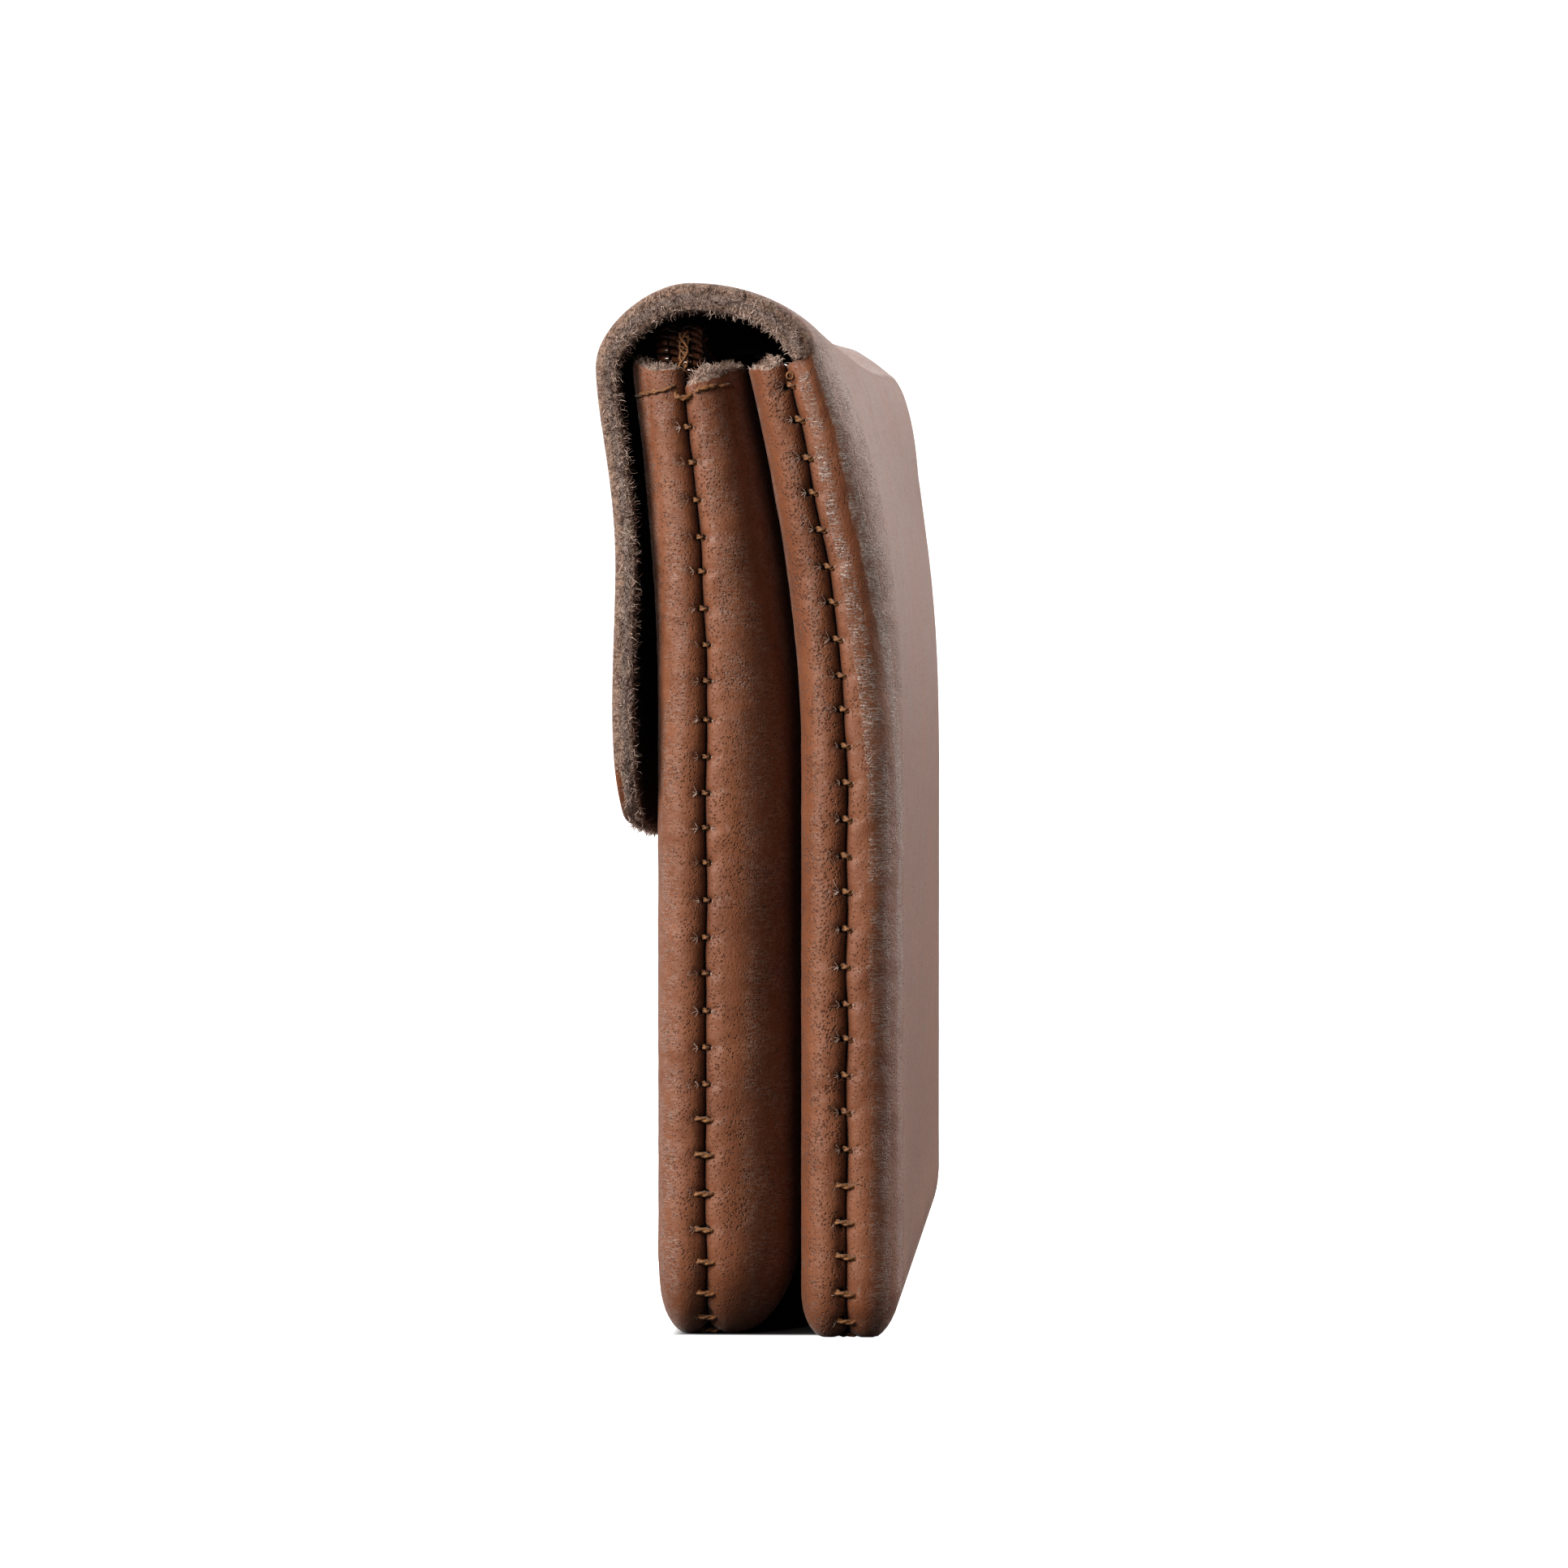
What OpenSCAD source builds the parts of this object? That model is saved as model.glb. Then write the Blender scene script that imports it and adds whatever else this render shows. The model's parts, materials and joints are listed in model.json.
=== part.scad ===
// Two-pocket leather flap pouch. Millimetres, +Z up, X along the length, the flap closes on the -Y side.
// The origin is the middle of the footprint, on the surface that the pouch stands on.

/* [Pouch] */
// Length of the pouch from side seam to side seam
case_l = 110; // [100:1:120]
// Thickness of the leather that makes the back and the flap
flap_t = 2.1; // [1.8:0.1:2.2]
// Thickness of the leather of the other three panels
panel_t = 1.4; // [1.2:0.1:1.5]
// Corner radius at the foot of the front pocket
front_foot_r = 8; // [6:0.5:10]
// Corner radius at the foot of the rear pocket
rear_foot_r = 4.5; // [3:0.5:6]

/* [Seams] */
// How deep the groove between two rolled edges is
groove_depth = 1.2; // [0.8:0.1:1.5]
// Width of the seam allowance turned into a pocket, from the outside of the roll
allowance = 5; // [4:0.5:6]
// Distance from one stitch to the next
stitch_pitch = 2.8; // [2.4:0.1:3.4]
// Diameter of the sewing thread
thread_d = 0.4; // [0.3:0.05:0.5]

/* [Flap] */
// Height of the middle of the flap's lower edge above the foot
flap_low = 38; // [34:1:44]
// Radius of the flap's lower corners
flap_corner_r = 7; // [5:0.5:12]

/* [Zip] */
// Where the closed slider's middle stands along the length
slider_rest_x = -40; // [-40:1:-34]
// Length of the slider's pull
pull_l = 10.5; // [9:0.5:10.5]

/* [Press stud] */
// Diameter of the cap on the outside of the flap
cap_d = 12.5; // [10:0.5:14]
// Height of the stud's axis above the foot
stud_z = 57; // [55:0.5:59]

/* [Hidden] */

half_l = case_l / 2;

// Where each panel's outer face and each pocket's seam stand in Y, low down, and how far they lean to the front
// by the time they reach the mouth.
front_seam_y = -3.6;
front_seam_lean = -1.9;
rear_seam_y = 7.3;
rear_seam_lean = -4.7;
front_face_y = -7.5;
front_face_lean = -2.0;
middle_face_y = 3.65;
middle_face_lean = -4.15;
back_face_y = 11.6;
back_face_lean = -5.0;
pocket_gap = 0.15;       // between the two inner panels
mouth_z = 75.3;          // height of the mouths
seam_gap = 0.03;         // each panel stands this far off its seam's plane
lobe = 1.5;              // from the seam's plane to the outermost line of a rolled edge
foot_cut = 0.25;         // the rolled feet are pressed flat by this much

// How much of its lean a line has reached at height z, when it starts to lean at height from.
function lean(z, from, to, power) = z <= from ? 0 : pow((z - from) / (to - from), power);
function front_seam(z) = front_seam_y + front_seam_lean * lean(z, 50, mouth_z, 1.7);
function rear_seam(z) = rear_seam_y + rear_seam_lean * lean(z, 44, mouth_z, 1.7);
function front_face(z) = front_face_y + front_face_lean * lean(z, 50, mouth_z, 1.7);
function middle_face(z) = middle_face_y + middle_face_lean * lean(z, 46, mouth_z, 1.7);
function back_face(z) = back_face_y + back_face_lean * lean(z, 38, mouth_z, 3.2);

// Each panel: its outward side, its pocket, thickness, roll radius, foot radius, the height of its seam's top,
// how far its face rises above that, its bulge in the middle, and how far its mouth sags there.
BACK = ["back", 1, flap_t, 6, rear_foot_r, mouth_z, 1.5, 0.5, 0];
REAR_FRONT = ["rear front", -1, panel_t, 3.5, rear_foot_r, mouth_z, -0.3, 0, 0];
FRONT_BACK = ["front back", 1, panel_t, 9, front_foot_r, 73.6, 1.8, 0, 0.9];
FRONT = ["front", -1, panel_t, 4, front_foot_r, 73.6, 2.1, -0.9, 0.9];
function side_of(p) = p[1];
function thickness_of(p) = p[2];
function roll_of(p) = p[3];
function foot_of(p) = p[4];
function top_of(p) = p[5];
function rise_of(p) = p[6];
function bulge_of(p) = p[7];
function sag_of(p) = p[8];

function seam_at(p, z) = (p[0] == "back" || p[0] == "rear front") ? rear_seam(z) : front_seam(z);
function face_at(p, z) =
    p[0] == "back" ? back_face(z) :
    p[0] == "rear front" ? middle_face(z) :
    p[0] == "front back" ? middle_face(z) - pocket_gap :
    front_face(z);

// A panel's section across its rolled edge is a half-round lobe that starts in the seam's groove. roll_e is the
// distance in from the outline and roll_d the distance from the seam's plane, for each line along the roll. The
// lines beside the outermost one are close to it, so that the foot's flat has a width.
roll_angles = [-90, -50, -20, 0, 15, 42, 66, 90];
roll_lines = len(roll_angles) - 1;
function roll_e(p, k) =
    let (a = roll_angles[k])
    a < 0 ? groove_depth * (1 - cos(a)) : roll_of(p) * (1 - cos(a));
function roll_d(depth, k) =
    let (a = roll_angles[k])
    a < 0 ? max(seam_gap, lobe * (1 + sin(a))) : lobe + (depth - lobe) * sin(a);
// The same lines on the inside, where the turned allowance closes the roll.
inner_reach = 1.6;
function inner_e(p, k) =
    let (wide = max(allowance + inner_reach, roll_of(p) + inner_reach))
    allowance + (wide - allowance) * (1 - cos(90 * k / roll_lines));
function inner_d(p, depth, k) = max(seam_gap, (depth - thickness_of(p)) * sin(90 * k / roll_lines));

columns = 12;                            // across the flat of a panel
foot_steps = [0, 22.5, 45, 67.5, 90];    // round a foot corner
side_rows = 12;
last_side_z = 12.5;
rows = side_rows + len(foot_steps);
row_cols = 2 * roll_lines + columns + 1;
least_corner = 0.8;

// Heights down a side, closer together near the mouth.
function side_z(p, j) = last_side_z + (top_of(p) - last_side_z) * (1 - pow(j / (side_rows - 1), 1.5));
// The corner arc of the line that runs a distance e inside the outline.
function corner_r(p, e) = max(foot_of(p) - e, least_corner);
function corner_x(p, e, a) = half_l - e - corner_r(p, e) * (1 - cos(a));
function corner_z(p, e, a) = e + corner_r(p, e) * (1 - sin(a));

// The place, in Y and Z, a share f of the way from the seam to the face at height z.
function rise_at(p, z) = rise_of(p) * pow(max(0, (z - 60) / (top_of(p) - 60)), 2);
function depth_at(p, z) =
    norm([face_at(p, z + rise_at(p, z)) - seam_at(p, z), rise_at(p, z)]);
function across(p, z, f) = [
    seam_at(p, z) + (face_at(p, z + rise_at(p, z)) - seam_at(p, z)) * f,
    z + rise_at(p, z) * f
];
// How a panel swells or hollows away from its rolled edges.
function swell(p, x, z) =
    let (reach = half_l - roll_of(p), u = min(1, abs(x) / reach), v = min(1, max(0, (z - 10) / 64)))
    side_of(p) * bulge_of(p) * (1 - u * u) * sin(180 * v);
function sag(p, x, z) =
    sag_of(p) * (1 - pow(min(1, abs(x) / (half_l - 4)), 8)) * max(0, (z - 66) / (top_of(p) - 66));

// A point of the outer sheet (inner = 0) or the inner one (inner = 1). The line k of the roll, x given or from
// the outline, and the base height z.
function place(p, inner, k, x, z) =
    let (
        depth = depth_at(p, z),
        d = inner == 1 ? inner_d(p, depth, k) : roll_d(depth, k),
        yz = across(p, z, d / depth),
        flat = k == roll_lines ? 1 : 0
    )
    [x, yz[0] + flat * swell(p, x, z), max(0, yz[1] - foot_cut - flat * sag(p, x, z))];
function line_e(p, inner, k) = inner == 1 ? inner_e(p, k) : roll_e(p, k);

// Row r, column c of the main block: the left roll, the flat, the right roll.
function main_point(p, inner, r, c) =
    let (
        left = c <= roll_lines,
        right = c >= roll_lines + columns,
        k = left ? c : right ? row_cols - 1 - c : roll_lines,
        e = line_e(p, inner, k),
        side = r < side_rows,
        a = side ? 0 : foot_steps[r - side_rows],
        z = side ? side_z(p, r) : corner_z(p, e, a),
        reach = side ? half_l - e : corner_x(p, e, a),
        x = left ? -reach : right ? reach : reach * (2 * (c - roll_lines) / columns - 1)
    )
    place(p, inner, k, x, z);
// Line k, step b of the block along the foot.
function foot_point(p, inner, k, b) =
    let (e = line_e(p, inner, k), reach = corner_x(p, e, 90))
    place(p, inner, k, reach * (2 * b / columns - 1), e);

function sheet_points(p, inner) = concat(
    [for (r = [0 : rows - 1], c = [0 : row_cols - 1]) main_point(p, inner, r, c)],
    [for (k = [0 : roll_lines - 1], b = [1 : columns - 1]) foot_point(p, inner, k, b)]
);
sheet_count = rows * row_cols + roll_lines * (columns - 1);
function main_id(r, c) = r * row_cols + c;
function foot_id(k, b) =
    b == 0 ? main_id(rows - 1, k) :
    b == columns ? main_id(rows - 1, row_cols - 1 - k) :
    k == roll_lines ? main_id(rows - 1, roll_lines + b) :
    rows * row_cols + k * (columns - 1) + b - 1;
sheet_quads = concat(
    [for (r = [0 : rows - 2], c = [0 : row_cols - 2])
        [main_id(r, c), main_id(r, c + 1), main_id(r + 1, c + 1), main_id(r + 1, c)]],
    [for (k = [0 : roll_lines - 1], b = [0 : columns - 1])
        [foot_id(k + 1, b), foot_id(k + 1, b + 1), foot_id(k, b + 1), foot_id(k, b)]]
);
// The sheet's edge: along the mouth, down one side, along the foot and up the other side.
sheet_edge = concat(
    [for (c = [0 : row_cols - 1]) main_id(0, c)],
    [for (r = [1 : rows - 1]) main_id(r, row_cols - 1)],
    [for (b = [columns - 1 : -1 : 1]) foot_id(0, b)],
    [for (r = [rows - 1 : -1 : 1]) main_id(r, 0)]
);
function turned(q) = [for (i = [len(q) - 1 : -1 : 0]) q[i]];
function moved(q, by) = [for (i = q) i + by];
function halves(quads) = [for (q = quads) each [[q[0], q[1], q[2]], [q[0], q[2], q[3]]]];

module panel(p) {
    edge_len = len(sheet_edge);
    quads = concat(
        sheet_quads,
        [for (q = sheet_quads) turned(moved(q, sheet_count))],
        [for (i = [0 : edge_len - 1])
            let (a = sheet_edge[i], b = sheet_edge[(i + 1) % edge_len])
            [b, a, a + sheet_count, b + sheet_count]]
    );
    polyhedron(
        points = concat(sheet_points(p, 0), sheet_points(p, 1)),
        faces = halves([for (q = quads) side_of(p) > 0 ? q : turned(q)]),
        convexity = 8
    );
}

leather = "#8a553b";
thread_colour = "#a5703c";
tape_colour = "#3a2119";
coil_colour = "#24130e";
metal = "#b08d4f";

module back_panel() { color(leather) panel(BACK); }
module rear_pocket_front() { color(leather) panel(REAR_FRONT); }
module front_pocket_back() { color(leather) panel(FRONT_BACK); }
module front_pocket_front() { color(leather) panel(FRONT); }

// Stitches that cross the groove of a turned seam, one bar each, down both sides and along the foot.
rung_half = 0.8;
rung_inset = 0.55;
module rung(x, y, z) {
    translate([x, y, z]) rotate([90, 0, 0]) cylinder(h = 2 * rung_half, d = thread_d, center = true, $fn = 16);
}
module seam_rungs(p, top) {
    side_count = floor((top - foot_of(p) - 1) / stitch_pitch);
    foot_count = floor((half_l - foot_of(p)) / stitch_pitch);
    for (side = [-1, 1], i = [0 : side_count])
        let (z = top - i * stitch_pitch)
        rung(side * (half_l - rung_inset), seam_at(p, z), z);
    for (i = [-foot_count : foot_count])
        rung(i * stitch_pitch, seam_at(p, 0), rung_inset);
}
module rear_seam_thread() { color(thread_colour) seam_rungs(BACK, mouth_z - 1.4); }
module front_seam_thread() { color(thread_colour) seam_rungs(FRONT, 70.5); }

// Two upright rows of stitches that join the two inner panels.
joining_x = 38;
joining_low = 14;
joining_count = 14;
module joining_thread() {
    color(thread_colour)
    for (side = [-1, 1], i = [0 : joining_count - 1])
        translate([side * joining_x, middle_face_y, joining_low + i * stitch_pitch])
        rotate([90, 0, 0]) cylinder(h = 2 * panel_t + 0.5, d = thread_d, center = true, $fn = 16);
}

// A row of stitches below the front pocket's mouth, on the outside of one of its panels.
mouth_stitch_drop = 2.3;
mouth_stitch_l = 2.1;
mouth_reach = 46;
module mouth_stitches(p) {
    count = floor(mouth_reach / stitch_pitch);
    for (i = [-count : count])
        let (
            z = top_of(p) + rise_of(p) - foot_cut - mouth_stitch_drop - sag(p, i * stitch_pitch, top_of(p)),
            y = face_at(p, z) + swell(p, i * stitch_pitch, z) - side_of(p) * 0.1
        )
        translate([i * stitch_pitch, y, z])
        rotate([0, 90, 0]) cylinder(h = mouth_stitch_l, d = thread_d, center = true, $fn = 16);
}
module mouth_thread_front() { color(thread_colour) mouth_stitches(FRONT); }
module mouth_thread_back() { color(thread_colour) mouth_stitches(FRONT_BACK); }

// The zip: two coils side by side, which dip towards the seam at each end.
zip_y = -5.1;
coil_low = 75.25;
coil_h = 1.2;
coil_w = 1.87;
coil_gap = 0.03;
dip_from = 49.5;
zip_end = 53.4;
zip_end_drop = 0.6;
coil_rings = 6;
function coil_dip(x) =
    abs(x) < dip_from ? 0 : zip_end_drop * (1 - cos(90 * (abs(x) - dip_from) / (zip_end - dip_from)));
coil_end = [for (i = [0 : coil_rings - 1]) dip_from + (zip_end - dip_from) * i / (coil_rings - 1)];
coil_xs = concat([for (i = [coil_rings - 1 : -1 : 0]) -coil_end[i]], coil_end);
coil_sides = 8;
module coil(side) {
    middle_y = zip_y + side * (coil_gap + coil_w / 2);
    points = [for (x = coil_xs, j = [0 : coil_sides - 1])
        let (a = 360 * (j + 0.5) / coil_sides, grow = 1 / cos(180 / coil_sides))
        [x, middle_y + grow * coil_w / 2 * cos(a), coil_low + coil_h / 2 - coil_dip(x) + grow * coil_h / 2 * sin(a)]];
    last = (len(coil_xs) - 1) * coil_sides;
    polyhedron(
        points = points,
        faces = concat(
            [[for (j = [coil_sides - 1 : -1 : 0]) j]],
            [[for (j = [0 : coil_sides - 1]) last + j]],
            halves([for (i = [0 : len(coil_xs) - 2], j = [0 : coil_sides - 1])
                let (a = i * coil_sides, n = (j + 1) % coil_sides)
                [a + j, a + n, a + coil_sides + n, a + coil_sides + j]])
        ),
        convexity = 4
    );
}
module zip_coil_front() { color(coil_colour) coil(-1); }
module zip_coil_back() { color(coil_colour) coil(1); }

// A tape hangs from its coil, spreads to the panel beside it and runs down the panel's inner face.
tape_t = 0.3;
tape_low = 67;
tape_reach = 48;
module tape(side) {
    p = side < 0 ? FRONT : FRONT_BACK;
    wall_top = face_at(p, 73.5) - side * (panel_t + tape_t + 0.3);
    wall_low = face_at(p, tape_low) - side * (panel_t + tape_t + 0.3);
    coil_y = zip_y + side * 1.3;
    translate([-tape_reach, 0, 0])
    rotate([90, 0, 90])
    linear_extrude(height = 2 * tape_reach)
    polygon([
        [coil_y, coil_low], [coil_y, 74.4], [wall_top, 73.4], [wall_low, tape_low],
        [wall_low + side * tape_t, tape_low], [wall_top + side * tape_t, 73.6],
        [coil_y + side * tape_t, 74.6], [coil_y + side * tape_t, coil_low]
    ]);
}
module zip_tape_front() { color(tape_colour) tape(-1); }
module zip_tape_back() { color(tape_colour) tape(1); }

// Bars of thread across the coils, which stop the slider and hold the zip's ends.
tack_x = 46.2;
tack_bars = 3;
tack_pitch = 0.55;
module zip_end_tacks() {
    color(thread_colour)
    for (side = [-1, 1], i = [0 : tack_bars - 1])
        let (x = tack_x + i * tack_pitch)
        translate([side * x, zip_y, coil_low + coil_h + 0.02])
        rotate([90, 0, 0]) cylinder(h = 3, d = thread_d, center = true, $fn = 16);
}

// The slider is a channel round both coils, open below for the tapes.
slider_l = 8.4;
slider_w = 5.2;
slider_nose_w = 4.6;
channel_w = 4.1;
channel_h = 1.5;
channel_low = coil_low - 0.15;
lip_gap = 3.5;
slider_low = 74.65;
slider_top = 77.2;
slider_corner = 0.9;
module slider_body() {
    color(metal)
    translate([slider_rest_x, zip_y, 0])
    difference() {
        translate([0, 0, slider_low])
        linear_extrude(height = slider_top - slider_low)
        polygon([
            [-slider_l / 2, -slider_nose_w / 2 + slider_corner], [-slider_l / 2 + slider_corner, -slider_nose_w / 2],
            [slider_l / 2 - slider_corner, -slider_w / 2], [slider_l / 2, -slider_w / 2 + slider_corner],
            [slider_l / 2, slider_w / 2 - slider_corner], [slider_l / 2 - slider_corner, slider_w / 2],
            [-slider_l / 2 + slider_corner, slider_nose_w / 2], [-slider_l / 2, slider_nose_w / 2 - slider_corner]
        ]);
        translate([-slider_l, -channel_w / 2, channel_low]) cube([2 * slider_l, channel_w, channel_h]);
        translate([-slider_l, -lip_gap / 2, slider_low - 1]) cube([2 * slider_l, lip_gap, channel_low - slider_low + 1.1]);
    }
}

// The bail is the small arch on the slider's back, and the pull's bar turns under it.
bail_l = 4.6;
bail_w = 1.2;
bail_h = 1.25;
bail_t = 0.45;
module slider_bail() {
    color(metal)
    translate([slider_rest_x - bail_l / 2, zip_y - bail_w / 2, slider_top])
    difference() {
        cube([bail_l, bail_w, bail_h]);
        translate([bail_t, -1, -1]) cube([bail_l - 2 * bail_t, bail_w + 2, bail_h - bail_t + 1]);
    }
}

pull_bar_x = slider_rest_x + 1.0;
pull_z = slider_top + 0.4;
pull_t = 0.6;
pull_w = 3.2;
pull_slot_w = 1.8;
pull_slot_l = 2.4;
pull_corner = 1.1;
module pull_tab() {
    color(metal)
    translate([pull_bar_x, zip_y, pull_z])
    union() {
        difference() {
            translate([0, 0, -pull_t / 2])
            linear_extrude(height = pull_t)
            polygon([
                [0, -pull_w / 2], [pull_l - pull_corner, -pull_w / 2], [pull_l, -pull_w / 2 + pull_corner],
                [pull_l, pull_w / 2 - pull_corner], [pull_l - pull_corner, pull_w / 2], [0, pull_w / 2]
            ]);
            translate([-1, -pull_slot_w / 2, -1]) cube([1 + pull_slot_l, pull_slot_w, 2]);
        }
        rotate([90, 0, 0]) cylinder(h = pull_w, d = pull_t, center = true, $fn = 32);
    }
}

// The flap's outer line, from the top of the back panel over the mouths and down the front.
hinge_z = 76.8;
hinge_y = back_face(hinge_z);
flap_gap = 0.3;          // the flap's root stands this far past the hinge line, clear of the back panel
function bezier(a, b, c, d, t) =
    pow(1 - t, 3) * a + 3 * pow(1 - t, 2) * t * b + 3 * (1 - t) * t * t * c + pow(t, 3) * d;
flap_curves = [
    [[hinge_y, hinge_z], [hinge_y - 1.0, hinge_z + 1.9], [1.2, 81.7], [-4.8, 81.7]],
    [[-4.8, 81.7], [-8.1, 81.7], [-12.1, 78.2], [-12.1, 75.3]],
    [[-12.1, 75.3], [-12.1, 71.5], [-10.6, 66.5], [-10.6, 60]],
    [[-10.6, 60], [-10.6, 56], [-10.9, 52], [-10.85, 48]],
    [[-10.85, 48], [-10.8, 44], [-10.3, 41], [-9.9, flap_low - 1]]
];
curve_steps = 9;
flap_line = concat(
    [for (c = flap_curves, i = [0 : curve_steps - 1]) bezier(c[0], c[1], c[2], c[3], i / curve_steps)],
    [flap_curves[len(flap_curves) - 1][3]]
);
last_point = len(flap_line) - 1;
function flap_normal(i) =
    let (d = flap_line[min(i + 1, last_point)] - flap_line[max(i - 1, 0)])
    [d[1], -d[0]] / norm(d);
flap_root = flap_gap * [-flap_normal(0)[1], flap_normal(0)[0]];
flap_band = concat(
    [for (i = [0 : last_point]) flap_line[i] + (i == 0 ? flap_root : [0, 0])],
    [for (i = [last_point : -1 : 0]) flap_line[i] - flap_t * flap_normal(i) + (i == 0 ? flap_root : [0, 0])]
);
// The lower edge is slightly bowed, with rounded corners.
flap_bow = 1.8;
corner_steps = 6;
flap_inset = half_l - flap_corner_r;
function low_edge(x) = flap_low + flap_bow * pow(x / flap_inset, 2);
flap_corner = [for (i = [0 : corner_steps])
    let (a = 90 * i / corner_steps)
    [flap_inset + flap_corner_r * sin(a), low_edge(flap_inset) + flap_corner_r * (1 - cos(a))]];
flap_outline = concat(
    [for (i = [-5 : 5]) let (x = flap_inset * i / 6) [x, low_edge(x)]],
    flap_corner,
    [[half_l, 100], [-half_l, 100]],
    [for (i = [corner_steps : -1 : 0]) [-flap_corner[i][0], flap_corner[i][1]]]
);
module flap() {
    color(leather)
    intersection() {
        translate([-half_l - 1, 0, 0]) rotate([90, 0, 90]) linear_extrude(height = case_l + 2) polygon(flap_band);
        translate([0, 40, 0]) rotate([90, 0, 0]) linear_extrude(height = 80) polygon(flap_outline);
    }
}

// The press stud. The cap and socket are clenched through the flap, the stud and its post through the panel.
flap_out_y = -10.62;                       // outer face of the flap at the stud's height
flap_in_y = flap_out_y + flap_t;
panel_out_y = -6.85;                       // outer face of the front panel there
shank_d = 3;
socket_d = 9;
socket_h = 1.0;
socket_bore = 5.8;
head_d = 3.9;
head_h = 1.05;
stud_base_h = 0.35;
module on_stud_axis(y) { translate([0, y, stud_z]) rotate([90, 0, 0]) children(); }
module snap_cap() {
    color(metal)
    on_stud_axis(flap_out_y)
    union() {
        rotate_extrude($fn = 64)
        polygon(concat(
            [[0, -0.1], [cap_d / 2, -0.1], [cap_d / 2, 0.35]],
            [for (i = [1 : 6]) [cap_d / 2 * cos(15 * i), 0.35 + 1.1 * sin(15 * i)]]
        ));
        translate([0, 0, -flap_t - 0.2]) cylinder(h = flap_t + 0.3, d = shank_d, $fn = 32);
    }
}
module snap_socket() {
    color(metal)
    on_stud_axis(flap_in_y + socket_h)
    difference() {
        cylinder(h = socket_h + 0.1, d = socket_d, $fn = 48);
        translate([0, 0, -0.1]) cylinder(h = socket_h + 0.05, d = socket_bore, $fn = 48);
    }
}
module snap_stud() {
    color(metal)
    on_stud_axis(panel_out_y)
    union() {
        translate([0, 0, -0.15]) cylinder(h = stud_base_h + 0.15, d = socket_d, $fn = 48);
        cylinder(h = stud_base_h + head_h, d = head_d, $fn = 32);
    }
}
module snap_post() {
    color(metal)
    on_stud_axis(panel_out_y + panel_t)
    union() {
        translate([0, 0, -0.5]) cylinder(h = 0.6, d = socket_d - 1, $fn = 48);
        cylinder(h = panel_t - 0.15, d = shank_d, $fn = 32);
    }
}

back_panel();
rear_pocket_front();
front_pocket_back();
front_pocket_front();
rear_seam_thread();
front_seam_thread();
joining_thread();
mouth_thread_front();
mouth_thread_back();
zip_tape_front();
zip_tape_back();
zip_coil_front();
zip_coil_back();
zip_end_tacks();
snap_stud();
snap_post();
flap();
snap_cap();
snap_socket();
slider_body();
slider_bail();
pull_tab();
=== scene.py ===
# A two-pocket leather case: two sewn pockets side by side, one zipped, under one long piece of leather that is the
# rear pocket's back and the flap. Sizes are in millimetres up to the moment that a mesh is made.
import json
import math
from collections import namedtuple

import bmesh
import bpy
import numpy as np
from mathutils import Matrix, Vector

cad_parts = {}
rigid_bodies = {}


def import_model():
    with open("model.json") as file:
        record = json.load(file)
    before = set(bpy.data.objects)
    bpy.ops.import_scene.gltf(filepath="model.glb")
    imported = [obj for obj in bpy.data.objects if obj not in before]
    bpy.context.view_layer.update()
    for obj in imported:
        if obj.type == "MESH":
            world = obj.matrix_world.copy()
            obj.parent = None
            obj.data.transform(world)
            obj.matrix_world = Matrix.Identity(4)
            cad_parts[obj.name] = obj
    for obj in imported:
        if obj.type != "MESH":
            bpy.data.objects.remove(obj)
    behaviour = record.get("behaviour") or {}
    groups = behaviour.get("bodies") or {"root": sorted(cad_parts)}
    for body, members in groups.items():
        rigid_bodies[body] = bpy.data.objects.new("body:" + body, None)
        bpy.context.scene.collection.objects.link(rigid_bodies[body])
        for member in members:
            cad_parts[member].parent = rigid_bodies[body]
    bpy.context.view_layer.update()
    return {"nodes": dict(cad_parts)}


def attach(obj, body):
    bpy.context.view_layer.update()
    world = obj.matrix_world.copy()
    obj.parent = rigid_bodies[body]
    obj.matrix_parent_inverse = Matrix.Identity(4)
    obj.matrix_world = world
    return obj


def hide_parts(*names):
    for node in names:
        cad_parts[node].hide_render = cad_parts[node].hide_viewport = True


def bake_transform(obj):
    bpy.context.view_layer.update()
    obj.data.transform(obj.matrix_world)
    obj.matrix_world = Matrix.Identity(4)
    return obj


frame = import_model()
MM = 0.001
scene = bpy.context.scene

# ---------------------------------------------------------------- the case's measures

HALF = 55.0  # half the case's length
FLAP_T = 2.1
PANEL_T = 1.4
MOUTH = 75.3
GROOVE = 1.2
LOBE = 1.5
ALLOWANCE = 5.0
INNER_REACH = 1.6
PITCH = 2.8  # from one stitch to the next
THREAD = 0.2
FOOT_CUT = 0.25
SEAM_GAP = 0.03
LEAST_CORNER = 0.8
SIDE_LOW = 12.5
ZIP_Y = -5.1
COIL_LOW = 75.25
COIL_H = 1.2
ZIP_END = 53.4
STUD_Z = 57.0
STUD_SEAT = -6.9
STUD_REACH = 4.9
STUD_REACH_FADE = 4.5


def smooth(t):
    t = np.clip(t, 0, 1)
    return t * t * (3 - 2 * t)


def lean(z, start, power=1.7):
    return np.clip((z - start) / (MOUTH - start), 0, None) ** power


def front_seam(z):
    return -3.6 - 1.9 * lean(z, 50)


def rear_seam(z):
    return 7.3 - 4.7 * lean(z, 44)


def front_face(z):
    return -7.5 - 2.0 * lean(z, 50)


def middle_face(z):
    return 3.65 - 4.15 * lean(z, 46)


def inner_face(z):
    return middle_face(z) - 0.15


def back_face(z):
    return 11.6 - 5.0 * lean(z, 38, 3.2)


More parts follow.
